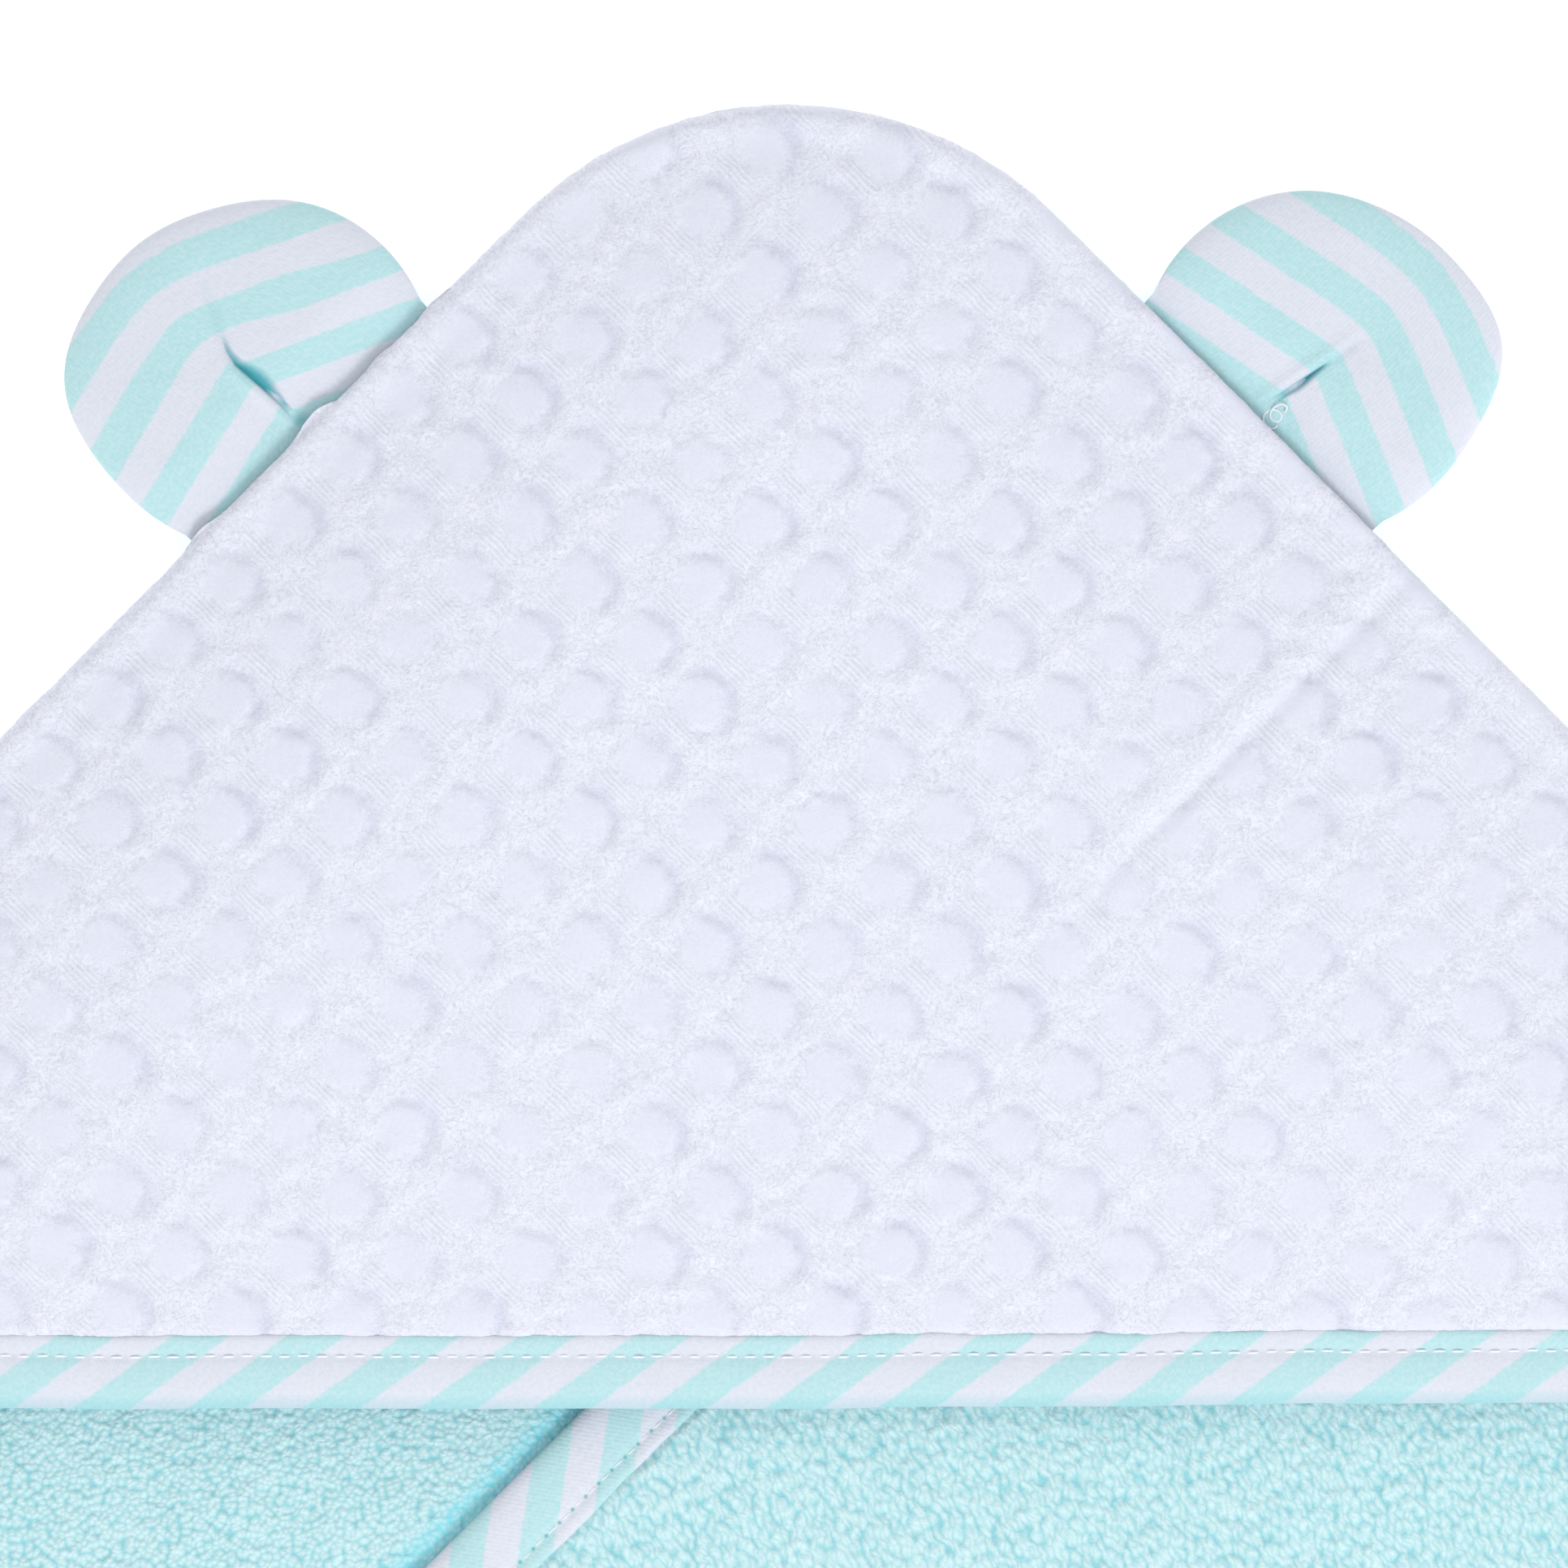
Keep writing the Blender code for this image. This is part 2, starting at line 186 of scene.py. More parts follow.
def place(x, y, lift):
    """Where a flat place of the towel lies, at this lift through it, once the foot is folded up."""
    x, y, lift = np.broadcast_arrays(*(np.asarray(value, float) for value in (x, y, lift)))
    gone = FOLD_Y - y
    radius = FOLD_MIDDLE_Z - lift
    turn = np.clip(gone / FOLD_ARC, 0, 1) * math.pi
    after = np.maximum(gone - FOLD_ARC, 0)
    real_y = np.where(gone <= 0, y, FOLD_Y - radius * np.sin(turn) + after)
    real_z = FOLD_MIDDLE_Z - radius * np.cos(turn)
    return np.stack([x, real_y, real_z + swell(x, real_y)], 1)


def laid_y(y):
    """The real Y of a flat Y, on either side of the fold."""
    return np.where(y >= FOLD_Y, y, 2 * FOLD_Y - FOLD_ARC - y)


# Meshes.


def new_piece(name, points, faces, material, flat=None, shares=None):
    """A smooth mesh piece. flat is each point's place on its cloth, and shares holds more values."""
    mesh = bpy.data.meshes.new(name)
    mesh.from_pydata(np.asarray(points).tolist(), [], [list(map(int, face)) for face in faces])
    mesh.validate()
    mesh.shade_smooth()
    mesh.set_sharp_from_angle(angle=math.radians(75))
    if flat is not None:
        values = np.zeros((len(points), 3), np.float32)
        values[:, : flat.shape[1]] = flat
        held = mesh.attributes.new("flat_place", "FLOAT_VECTOR", "POINT")
        held.data.foreach_set("vector", values.ravel())
    for key, value in (shares or {}).items():
        held = mesh.attributes.new(key, "FLOAT", "POINT")
        held.data.foreach_set("value", np.asarray(value, np.float32))
    mesh.materials.append(material)
    made = bpy.data.objects.new(name, mesh)
    bpy.context.scene.collection.objects.link(made)
    return made


def inside(points, loop):
    """Whether each point lies inside a closed loop."""
    found = np.zeros(len(points), bool)
    for a, b in zip(loop, np.roll(loop, -1, 0)):
        spans = (a[1] > points[:, 1]) != (b[1] > points[:, 1])
        if spans.any():
            x = a[0] + (points[:, 1] - a[1]) * (b[0] - a[0]) / (b[1] - a[1] if b[1] != a[1] else 1)
            found ^= spans & (points[:, 0] < x)
    return found


def triangles(loop, inner):
    """Triangles over a closed loop of points with more points inside it.

    They are found on a plan that bulges a little, so that no points of a straight edge lie in line.
    """
    away = np.vstack([loop, inner]) - loop.mean(0)
    far = (away**2).sum(1, keepdims=True)
    points = away * (1 - 0.02 * far / far.max())
    count = len(loop)
    found = delaunay_2d_cdt([Vector(p) for p in points], [], [list(range(count))], 1, 1e-8, True)
    first = [origin[0] if origin else -1 for origin in found[3]]
    faces = np.array([[first[i] for i in face] for face in found[2]])
    on_loop = (faces < count).all(1)
    middles = points[faces].mean(1)
    keep = np.ones(len(faces), bool)
    keep[on_loop] = inside(middles[on_loop], points[:count])
    return faces[keep].tolist()


def slab(name, loop, top, bottom, top_at, bottom_at, material, shares=None):
    """A closed cloth: two faces over the same loop, each with its own inner points, and a wall."""
    count = len(loop)
    over, under = np.vstack([loop, top]), np.vstack([loop, bottom])
    points = np.vstack([top_at(*over.T), bottom_at(*under.T)])
    faces = triangles(loop, top)
    start = len(over)
    faces += [[start + i for i in face[::-1]] for face in triangles(loop, bottom)]
    for i in range(count):
        after = (i + 1) % count
        faces.append([i, start + i, start + after, after])
    both = np.vstack([over, under])
    values = {key: share(*both.T) for key, share in (shares or {}).items()}
    if "shade" in values:
        values["shade"][start:] = 0
    return new_piece(name, points, faces, material, both, values)


def hex_points(low, high, step, keep):
    """A staggered grid of points in a box, where keep(x, y) holds."""
    rows = []
    for row, y in enumerate(np.arange(low[1], high[1], step * 0.866)):
        x = np.arange(low[0] + (row % 2) * step / 2, high[0], step)
        rows.append(np.stack([x, np.full_like(x, y)], 1))
    points = np.vstack(rows)
    return points[keep(*points.T)]


def tube_section(loop_points, rings):
    """Quads along rings of the same number of points, with the two ends filled."""
    faces = []
    for ring in range(rings - 1):
        for i in range(loop_points):
            after = (i + 1) % loop_points
            a, b = ring * loop_points, (ring + 1) * loop_points
            faces.append([a + i, a + after, b + after, b + i])
    faces.append(list(range(loop_points))[::-1])
    faces.append([(rings - 1) * loop_points + i for i in range(loop_points)])
    return faces


# Materials.


class Nodes:
    """A material's node tree, with short ways to add and join nodes."""

    def __init__(self, name, roughness, sheen=0.0):
        self.material = bpy.data.materials.new(name)
        self.material.use_nodes = True
        self.tree = self.material.node_tree
        self.shader = self.tree.nodes["Principled BSDF"]
        self.shader.inputs["Roughness"].default_value = roughness
        self.shader.inputs["Specular IOR Level"].default_value = 0.15
        self.shader.inputs["Sheen Weight"].default_value = sheen
        self.shader.inputs["Sheen Roughness"].default_value = 0.6

    def add(self, kind, inputs=None, **settings):
        node = self.tree.nodes.new("ShaderNode" + kind)
        for key, value in settings.items():
            setattr(node, key, value)
        for key, value in (inputs or {}).items():
            self.put(node.inputs[key], value)
        return node

    def put(self, socket, value):
        if isinstance(value, bpy.types.NodeSocket):
            self.tree.links.new(value, socket)
        else:
            socket.default_value = value

    def math(self, operation, a, b=0.0, clamp=False):
        node = self.add("Math", operation=operation, use_clamp=clamp)
        self.put(node.inputs[0], a)
        self.put(node.inputs[1], b)
        return node.outputs[0]

    def plus(self, a, b):
        return self.math("ADD", a, b)

    def minus(self, a, b, clamp=False):
        return self.math("SUBTRACT", a, b, clamp)

    def times(self, a, b, clamp=False):
        return self.math("MULTIPLY", a, b, clamp)

    def flat_place(self, turn=0.0):
        held = self.add("Attribute", attribute_name="flat_place")
        mapped = self.add("Mapping", {"Vector": held.outputs["Vector"]})
        mapped.inputs["Rotation"].default_value[2] = turn
        return mapped.outputs["Vector"]

    def share(self, name):
        return self.add("Attribute", attribute_name=name).outputs["Fac"]

    def noise(self, vector, size, detail=2.0, roughness=0.5, distortion=0.0):
        inputs = {"Vector": vector, "Scale": 1 / size, "Detail": detail, "Roughness": roughness}
        return self.add("TexNoise", inputs | {"Distortion": distortion}).outputs["Fac"]

    def lines(self, vector, pitch, distortion):
        """Parallel lines across X, this far apart."""
        inputs = {"Vector": vector, "Scale": 2 * math.pi / (20 * pitch), "Distortion": distortion}
        return self.add("TexWave", inputs, wave_type="BANDS", bands_direction="X")

    def ramp(self, value, stops):
        node = self.add("ValToRGB", {"Fac": value})
        elements = node.color_ramp.elements
        while len(elements) < len(stops):
            elements.new(0.5)
        for element, (position, colour) in zip(elements, stops):
            element.position = position
            element.color = (*colour, 1)
        return node.outputs["Color"]

    def mix(self, share, a, b):
        node = self.add("Mix", data_type="RGBA")
        self.put(node.inputs[0], share)
        self.put(node.inputs[6], a if isinstance(a, bpy.types.NodeSocket) else (*a, 1))
        self.put(node.inputs[7], b if isinstance(b, bpy.types.NodeSocket) else (*b, 1))
        return node.outputs[2]

    def bump(self, height, distance, strength):
        inputs = {"Height": height, "Distance": distance, "Strength": strength}
        return self.add("Bump", inputs).outputs["Normal"]

    def finish(self, colour, normal):
        self.put(self.shader.inputs["Base Color"], colour)
        self.put(self.shader.inputs["Normal"], normal)
        return self.material


# painted shade on the terry beside the tucked foot and below the hood's edge
MINT_SHADE = (0.24, 0.76, 0.88)
# painted shade in the gaps between the terry's loops
MINT_GAP_SHADE = (0.29, 0.62, 0.68)
MINT = (0.42, 0.69, 0.735)
MINT_PALE = (0.51, 0.745, 0.78)
# painted light on the terry's loop tips
MINT_TIP = (0.60, 0.79, 0.82)
WHITE_LOW = (0.595, 0.615, 0.72)
WHITE = (0.645, 0.665, 0.765)
CUSHION_WHITE = (0.685, 0.705, 0.81)
WHITE_HIGH = (0.72, 0.735, 0.835)
WHITE_TIP = (0.805, 0.82, 0.905)
# painted shade in the grooves round the cushions
GROOVE_SHADE = (0.57, 0.595, 0.72)
JERSEY_MINT = (0.43, 0.685, 0.715)
JERSEY_WHITE = (0.655, 0.68, 0.765)
JERSEY_TIP = (0.78, 0.80, 0.86)
JERSEY_LOW = (0.36, 0.62, 0.66)
JERSEY_SHADE = (0.085, 0.42, 0.48)


def terry_material():
    """Mint loop terry: loops with painted light on their tips over gaps with painted shade, longer and more
    wavy on the folded foot.
    """
    n = Nodes("mint_terry", 0.95, sheen=0.10)
    near = n.flat_place()
    patches = n.noise(near, 7.0 * MM, 2.0)
    sway = n.add("TexNoise", {"Vector": near, "Scale": 1 / (2.4 * MM), "Detail": 1.0}).outputs["Color"]
    sway = n.add("VectorMath", {0: sway, 1: (0.5, 0.5, 0.5)}, operation="SUBTRACT").outputs[0]

    def loops(stretch, turn, size, bend, smoothness):
        bent = n.add("VectorMath", {0: sway, 3: bend}, operation="SCALE").outputs[0]
        bent = n.add("VectorMath", {0: bent, 1: near}, operation="ADD").outputs[0]
        mapped = n.add("Mapping", {"Vector": bent, "Scale": (1, stretch, 1)}, vector_type="TEXTURE")
        mapped.inputs["Rotation"].default_value[2] = turn
        cells = n.add(
            "TexVoronoi",
            {"Vector": mapped.outputs["Vector"], "Scale": 1 / size, "Smoothness": smoothness},
            feature="SMOOTH_F1",
            voronoi_dimensions="2D",
        )
        return cells.outputs["Distance"]

    short = loops(1.0, 0.0, 0.95 * MM, 1.0 * MM, 0.15)
    strand = loops(2.1, math.radians(-24), 0.86 * MM, 1.8 * MM, 0.10)
    gap = n.add("Mix", {0: n.share("foot"), 2: short, 3: strand}, data_type="FLOAT").outputs[0]
    fibre = n.noise(near, 0.4 * MM, 2.0, 0.6, 0.6)
    pile = n.share("pile")
    depth = n.plus(gap, n.times(n.minus(0.5, pile), 0.35))
    depth = n.plus(depth, n.times(n.minus(0.5, fibre), 0.45))
    depth = n.plus(depth, n.times(n.minus(patches, 0.5), 0.25))
    # the colour runs from painted light on the loop tips to painted shade in the gaps between them
    colour = n.ramp(depth, [(0.08, MINT_TIP), (0.34, MINT_PALE), (0.60, MINT), (0.86, MINT_GAP_SHADE)])
    # painted shade beside the tucked foot and below the hood's edge
    shade = n.times(n.share("shade"), n.plus(n.times(depth, 0.5), 0.45), clamp=True)
    colour = n.mix(shade, colour, MINT_SHADE)
    height = n.minus(n.times(fibre, 0.4), gap)
    return n.finish(colour, n.bump(height, 0.55 * MM, 0.45))


def dimple_material():
    """White sculpted terry: wispy ground, smooth cushions, fine ribs in the woven ovals, and painted shade
    in the grooves round the cushions.
    """
    n = Nodes("white_dimple_terry", 0.95, sheen=0.10)
    near = n.flat_place()
    wisps = n.noise(near, 1.25 * MM, 3.0, 0.62, 2.4)
    fuzz = n.noise(near, 0.55 * MM, 2.0, 0.6, 1.0)
    patches = n.noise(near, 3.2 * MM, 2.0)
    cushion = n.share("cushion")
    ribs = n.share("ribs")
    wave = n.lines(n.flat_place(math.radians(-45)), 0.82 * MM, 3.2)
    wave.inputs["Detail"].default_value = 1.0
    wave.inputs["Detail Scale"].default_value = 0.9
    open_ground = n.minus(1.0, n.times(cushion, 0.70))
    grain = n.times(n.plus(wisps, n.times(fuzz, 0.5)), open_ground)
    rib = n.times(wave.outputs["Fac"], ribs)
    height = n.plus(grain, n.times(rib, 0.7))
    tips = n.plus(n.times(wisps, 0.72), n.times(fuzz, 0.28))
    colour = n.ramp(tips, [(0.34, WHITE_LOW), (0.50, WHITE_HIGH), (0.66, WHITE_TIP)])
    colour = n.mix(n.times(cushion, 0.75), colour, CUSHION_WHITE)
    woven = n.ramp(wave.outputs["Fac"], [(0.15, WHITE), (0.55, WHITE_HIGH), (0.9, WHITE_TIP)])
    in_oval = n.times(n.times(ribs, n.plus(patches, 0.1)), 0.75, clamp=True)
    colour = n.mix(in_oval, colour, woven)
    groove = n.times(n.share("groove"), n.plus(patches, 0.20))
    # painted shade in the grooves round the cushions
    colour = n.mix(n.times(groove, 0.62, clamp=True), colour, GROOVE_SHADE)
    return n.finish(colour, n.bump(height, 0.40 * MM, 0.40))


def jersey_material(name, turn, shift, holes=None):
    """Fine jersey in mint and white stripes of one width, with the knit's wales across them.

    holes is how far from the cloth's edge a row of needle holes lies, one to each stitch, each painted as a
    dark spot of shade.
    """
    n = Nodes(name, 0.85, sheen=0.15)
    turned = n.flat_place(turn)
    wobble = n.noise(n.flat_place(), 2.2 * MM, 2.0)
    split = n.add("SeparateXYZ", {"Vector": turned})
    across = n.plus(split.outputs["Y"], n.times(wobble, 0.55 * MM))
    phase = n.math("FRACT", n.plus(n.math("DIVIDE", across, 2 * STRIPE), shift))
    edge = n.math("ABSOLUTE", n.minus(phase, 0.5))
    limits = {"Value": edge, "From Min": 0.222, "From Max": 0.278}
    stripe = n.add("MapRange", limits, interpolation_type="SMOOTHSTEP").outputs["Result"]
    yarn = n.noise(n.flat_place(), 0.7 * MM, 3.0, 0.65)
    colour = n.mix(stripe, JERSEY_WHITE, JERSEY_MINT)
    speck = n.times(n.minus(yarn, 0.42, clamp=True), 0.95)
    colour = n.mix(speck, colour, JERSEY_TIP)
    low = n.times(n.minus(0.52, yarn, clamp=True), 0.60)
    colour = n.mix(low, colour, JERSEY_LOW)
    # painted shade, wherever a piece carries a shade share
    colour = n.mix(n.share("shade"), colour, JERSEY_SHADE)
    if holes:
        flat = n.add("SeparateXYZ", {"Vector": n.flat_place()})
        beat = n.math("PINGPONG", flat.outputs["X"], STITCH / 2)
        aside = n.minus(n.math("ABSOLUTE", flat.outputs["Y"]), holes)
        along_row = n.math("POWER", beat, 2.0)
        across_row = n.math("POWER", n.math("ABSOLUTE", aside), 2.0)
        far = n.math("SQRT", n.plus(along_row, across_row))
        # each needle hole is painted as a dark spot of shade
        hole = n.add("MapRange", {"Value": far, "From Min": 0.42 * MM, "From Max": 0.16 * MM})
        colour = n.mix(n.times(hole.outputs["Result"], 0.75), colour, JERSEY_SHADE)
    wales = n.lines(turned, 0.62 * MM, 0.8).outputs["Fac"]
    height = n.plus(n.times(wales, 0.20), yarn)
    return n.finish(colour, n.bump(height, 0.16 * MM, 0.55))


def thread_material():
    """White sewing thread with its twist."""
    n = Nodes("white_thread", 0.6, sheen=0.2)
    twist = n.noise(n.flat_place(), 0.4 * MM, 1.0)
    colour = n.ramp(twist, [(0.3, (0.74, 0.78, 0.84)), (0.7, (0.84, 0.86, 0.90))])
    return n.finish(colour, n.bump(twist, 0.05 * MM, 0.5))


terry = terry_material()
dimple = dimple_material()
BINDING_TURN = math.radians(-36)
binding_jersey = jersey_material("striped_jersey_binding", BINDING_TURN, 0.0)
edge_jersey = jersey_material("striped_jersey_edge", BINDING_TURN, 0.0, EDGE_STITCH_INSET)
ear_jersey = jersey_material("striped_jersey_ear", 0.0, 0.695)
thread = thread_material()


# The towel.


def terry_lift(x, y, side):
    """The lift of one face of the towel: 1 is the face that lies upwards before the fold."""
    inset = towel_inset(x, y)
    bound = y < HOOD_LINE_Y
    press = np.where(bound, smooth(inset, EDGE_BINDING - 1.2 * MM, EDGE_BINDING + 1.2 * MM), 1)
    flat_low, flat_high = 0.9 * MM + BINDING_LIFT, 1.5 * MM + BINDING_LIFT
    round_off = np.sqrt(np.clip(1 - (1 - np.clip(inset / (1.4 * MM), 0, 1)) ** 2, 0.02, 1))
    round_off = np.where(bound, 1, round_off)
    middle = TERRY / 2
    if side:
        lift = flat_high + (TERRY - flat_high) * press
    else:
        lift = flat_low * (1 - press)
    away = (lift - middle) * round_off
    return middle + away


def pile_noise(x, y, foot):
    """The loops' relief, from -1 to 1: short blobs on the towel, wavy strands on the foot."""
    drift_x = 1.1 * MM * noise(x, y, 3.5 * MM, 31)
    drift_y = 1.1 * MM * noise(x, y, 3.5 * MM, 32)
    short = 0.7 * noise(x + drift_x, y + drift_y, 0.75 * MM, 33) + 0.3 * noise(x, y, 0.45 * MM, 34)
    along, across = y * 0.91 + x * 0.41, x * 0.91 - y * 0.41
    bent = across + 1.6 * MM * noise(x, y, 4.5 * MM, 35)
    strand = 0.8 * noise(bent, along * 0.50, 0.70 * MM, 36) + 0.2 * noise(x, y, 0.5 * MM, 37)
    return np.where(foot, strand, short)


def near_share(x, y):
    """1 on the stretch of terry that is seen close up, fading to 0 round it."""
    real = laid_y(y)
    begun = smooth(real, NEAR_Y - 6 * MM, NEAR_Y)
    hidden = smooth(real, HOOD_LINE_Y + 10 * MM, HOOD_LINE_Y + 16 * MM)
    aside = smooth(np.abs(x), NEAR_X, NEAR_X + 6 * MM)
    return begun * (1 - hidden) * (1 - aside)


def contact_shade(x, y):
    """1 where shade is painted on the pile: in the corner beside the tucked foot and below the hood's edge.
    """
    real = laid_y(y)
    beyond = towel_inset(x, 2 * FOLD_Y - FOLD_ARC - real)
    beside = 0.95 * hump(beyond + 1.6 * MM, 2.3 * MM) * (y > FOLD_Y) * (real > -0.10)
    below = 0.14 * hump(real - HOOD_FRONT_Y - 0.6 * MM, 1.5 * MM)
    return np.clip(np.maximum(beside, below), 0, 1) * near_share(x, y)


def towel_face(side):
    def at(x, y):
        foot = y < FOLD_Y
        lift = terry_lift(x, y, side)
        inset = towel_inset(x, y)
        loose = smooth(inset, EDGE_BINDING, EDGE_BINDING + 1.5 * MM)
        coarse = 0.18 * MM * noise(x, y, 9 * MM, 41) + 0.12 * MM * noise(x, y, 5 * MM, 42)
        fine = 0.28 * MM * pile_noise(x, y, foot) * near_share(x, y)
        relief = (coarse + fine) * loose
        return place(x, y, lift + relief if side else lift - relief)

    return at


def bend_with_hood(piece):
    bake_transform(piece)


def bend_with_wing(piece):
    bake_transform(piece)


def towel_pieces():
    """The towel in three pieces that meet where the wings begin to bend."""
    outline = towel_outline(GAP, 4 * MM)
    low, high = outline.min(0), outline.max(0)

    def within(x, y, margin):
        return towel_inset(x, y) > margin + GAP

    def cut_line(x, start, end):
        return spaced(np.array([[x, start], [x, end]]), 4 * MM)

    def edge_span(keep):
        """The part of the outline where keep holds, as one run of points."""
        held = keep(*outline.T)
        start = next(i for i in range(len(outline)) if held[i] and not held[i - 1])
        order = np.roll(np.arange(len(outline)), -start)
        return outline[[i for i in order if held[i]]]

    def edge_y(x, upper):
        """Where the outline crosses a cut line."""
        ys = np.linspace(low[1], high[1], 40001)
        inside = np.nonzero(towel_inset(np.full_like(ys, x), ys) >= GAP)[0]
        return ys[inside[-1]] if upper else ys[inside[0]]

    def fine_points(foot):
        start, end = NEAR_Y - 4 * MM, HOOD_LINE_Y + 14 * MM
        if foot:
            start, end = 2 * FOLD_Y - FOLD_ARC - end, 2 * FOLD_Y - FOLD_ARC - start
            return (-68 * MM, start), (NEAR_X + 4 * MM, end)
        return (-NEAR_X - 4 * MM, start), (-16 * MM, end)

    def inner(keep, side):
        """Inner points of one face: coarse, with the close-up stretch fine, and rows at the fold."""
        fold_rows = (FOLD_Y + 1.5 * MM, FOLD_Y - FOLD_ARC - 1.5 * MM)
        near_low, near_high = fine_points(not side)

        def in_near(x, y):
            return (x > near_low[0]) & (x < near_high[0]) & (y > near_low[1]) & (y < near_high[1])

        def in_fold(y):
            return (y < fold_rows[0] + 2 * MM) & (y > fold_rows[1] - 2 * MM)

        def coarse(x, y):
            return keep(x, y, 4 * MM) & ~in_near(x, y) & ~in_fold(y)

        parts = [hex_points(low, high, 6 * MM, coarse)]
        rows = np.arange(fold_rows[1], fold_rows[0], 0.55 * MM)
        columns = np.arange(low[0], high[0], 6 * MM)
        bend = np.stack(np.meshgrid(columns, rows), -1).reshape(-1, 2)
        parts.append(bend[keep(*bend.T, 2.5 * MM)])
        for inset in (0.4, 1.0, 2.0, 10.5, 11.6, 12.6, 14.0):
            ring = towel_outline(GAP + inset * MM, 4 * MM)
            parts.append(ring[keep(*ring.T, 0.1 * MM) & ~in_fold(ring[:, 1])])
        loose = EDGE_BINDING - 1 * MM
        parts.append(hex_points(near_low, near_high, 0.46 * MM, lambda x, y: keep(x, y, loose)))
        points = np.vstack(parts)
        keys = np.round(points / (0.12 * MM)).astype(int)
        return points[np.unique(keys, axis=0, return_index=True)[1]]

    shares = {
        "foot": lambda x, y: (y < FOLD_Y).astype(float),
        "pile": lambda x, y: 0.5 + 0.5 * pile_noise(x, y, y < FOLD_Y) * near_share(x, y),
        "shade": contact_shade,
    }

    def piece_of_towel(name, loop, keep):
        faces = [towel_face(side) for side in (1, 0)]
        return slab(f"towel_cloth_{name}", loop, inner(keep, 1), inner(keep, 0), *faces, terry, shares)

    # The middle, with the hood's back and all of the foot between the wings.
    upper = edge_span(lambda x, y: y > HOOD_LINE_Y)
    lower = edge_span(lambda x, y: (y < 0) & (np.abs(x) < CUT_X))
    right_end, left_start = edge_y(CUT_X, False), edge_y(-CUT_X, False)
    corner = WING_X - GAP * ROOT_2
    loop = np.vstack(
        [
            [[corner, HOOD_LINE_Y]],
            upper,
            [[-corner, HOOD_LINE_Y]],
            cut_line(-CUT_X, HOOD_LINE_Y, left_start),
            lower,
            cut_line(CUT_X, right_end, HOOD_LINE_Y),
        ]
    )

    def keep_middle(x, y, margin):
        inside = (np.abs(x) < CUT_X - margin) | (y > HOOD_LINE_Y + margin)
        return within(x, y, margin) & inside

    centre = piece_of_towel("centre", loop, keep_middle)
    bend_with_hood(centre)
    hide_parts("towel_centre", "hood_back", "foot_flap_centre", "foot_tip")

    pieces = [centre]
    for side, name in SIDES.items():
        top_y = min(edge_y(side * CUT_X, True), HOOD_LINE_Y)
        bottom_y = edge_y(side * CUT_X, False)
        span = edge_span(lambda x, y: (side * x > CUT_X) & (y < HOOD_LINE_Y))
        ends = [[side * corner, HOOD_LINE_Y]]
        if side < 0:
            loop = np.vstack([ends, span, cut_line(-CUT_X, bottom_y, top_y)])
        else:
            loop = np.vstack([cut_line(CUT_X, top_y, bottom_y), span, ends])

        def keep_wing(x, y, margin, side=side):
            return within(x, y, margin) & (side * x > CUT_X + margin) & (y < HOOD_LINE_Y - margin)

        wing = piece_of_towel(name, loop, keep_wing)
        bend_with_wing(wing)
        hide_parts(f"towel_{name}_wing", f"foot_flap_{name}")
        pieces.append(wing)
    return pieces


# The hood.

SEAM_LOW = 3.6 * MM  # the height where the panel's turned edge meets the towel's
EAR_BASE = CORNER_Y - 102 * MM / ROOT_2  # Y of the middle of each ear, on the seam
EAR_LIFT = 2.6 * MM  # how much higher the panel's edge lies over an ear


def hood_inset(x, y):
    """How far inside its seams and rounded tip a point of the hood lies."""
    above = y - (CORNER_Y - CORNER_RADIUS * ROOT_2)
    straight = (CORNER_Y - np.abs(x) - y) / ROOT_2
    return np.where(np.abs(x) < above, CORNER_RADIUS - np.hypot(x, above), straight)


def roof_z(x, y):
    """The height of the hood panel's underside, which swells up from its seams."""
    level_y = HOOD_FRONT_Y + HOOD_BINDING + 1.3 * MM
    risen = (hood_inset(x, np.maximum(y, level_y)) - RIM_WIDTH) / (SLOPE_INSET - RIM_WIDTH)
    risen = np.clip(risen, 0, 1)
    return RIM_LOW + (ROOF_LOW - RIM_LOW) * risen * (2 - risen) + swell(x, y)


def front_y(x):
    """The hood's free edge, which isn't quite straight."""
    wave = 0.25 * noise(x, x * 0, 30 * MM, 51) + 0.12 * noise(x, x * 0, 9 * MM, 52)
    return HOOD_FRONT_Y + (0.4 + wave + 0.8 * smooth(x, -40 * MM, 120 * MM)) * MM


CUSHION = 3.9 * MM  # radius
LATTICE = np.array([[8.95, 9.15], [9.05, -9.25]]) * MM  # from one cushion to its two neighbours
LATTICE_START = np.array([0.0685, 0.2314])
UP_RIGHT = np.array([1, 1]) / ROOT_2
DOWN_RIGHT = np.array([1, -1]) / ROOT_2


def lattice_bend(x, y):
    """How far the cloth's own pull shifts its lattice."""
    return 1.3 * MM * np.stack([noise(x, y, 40 * MM, 61), noise(x, y, 36 * MM, 62)], 1)


def lattice_offset(x, y):
    """Each point's offset from its nearest cushion, on a lattice that the cloth bends a little."""
    place_ = np.stack([np.asarray(x, float), np.asarray(y, float)], 1) - LATTICE_START
    place_ += lattice_bend(x, y)
    cell = np.round(place_ @ np.linalg.inv(LATTICE))
    best, size = None, None
    for i in (-1, 0, 1):
        for j in (-1, 0, 1):
            away = place_ - (cell + (i, j)) @ LATTICE
            far = np.hypot(*away.T)
            if best is None:
                best, size = away, far
            else:
                nearer = far < size
                best[nearer], size = away[nearer], np.minimum(size, far)
    return best, size


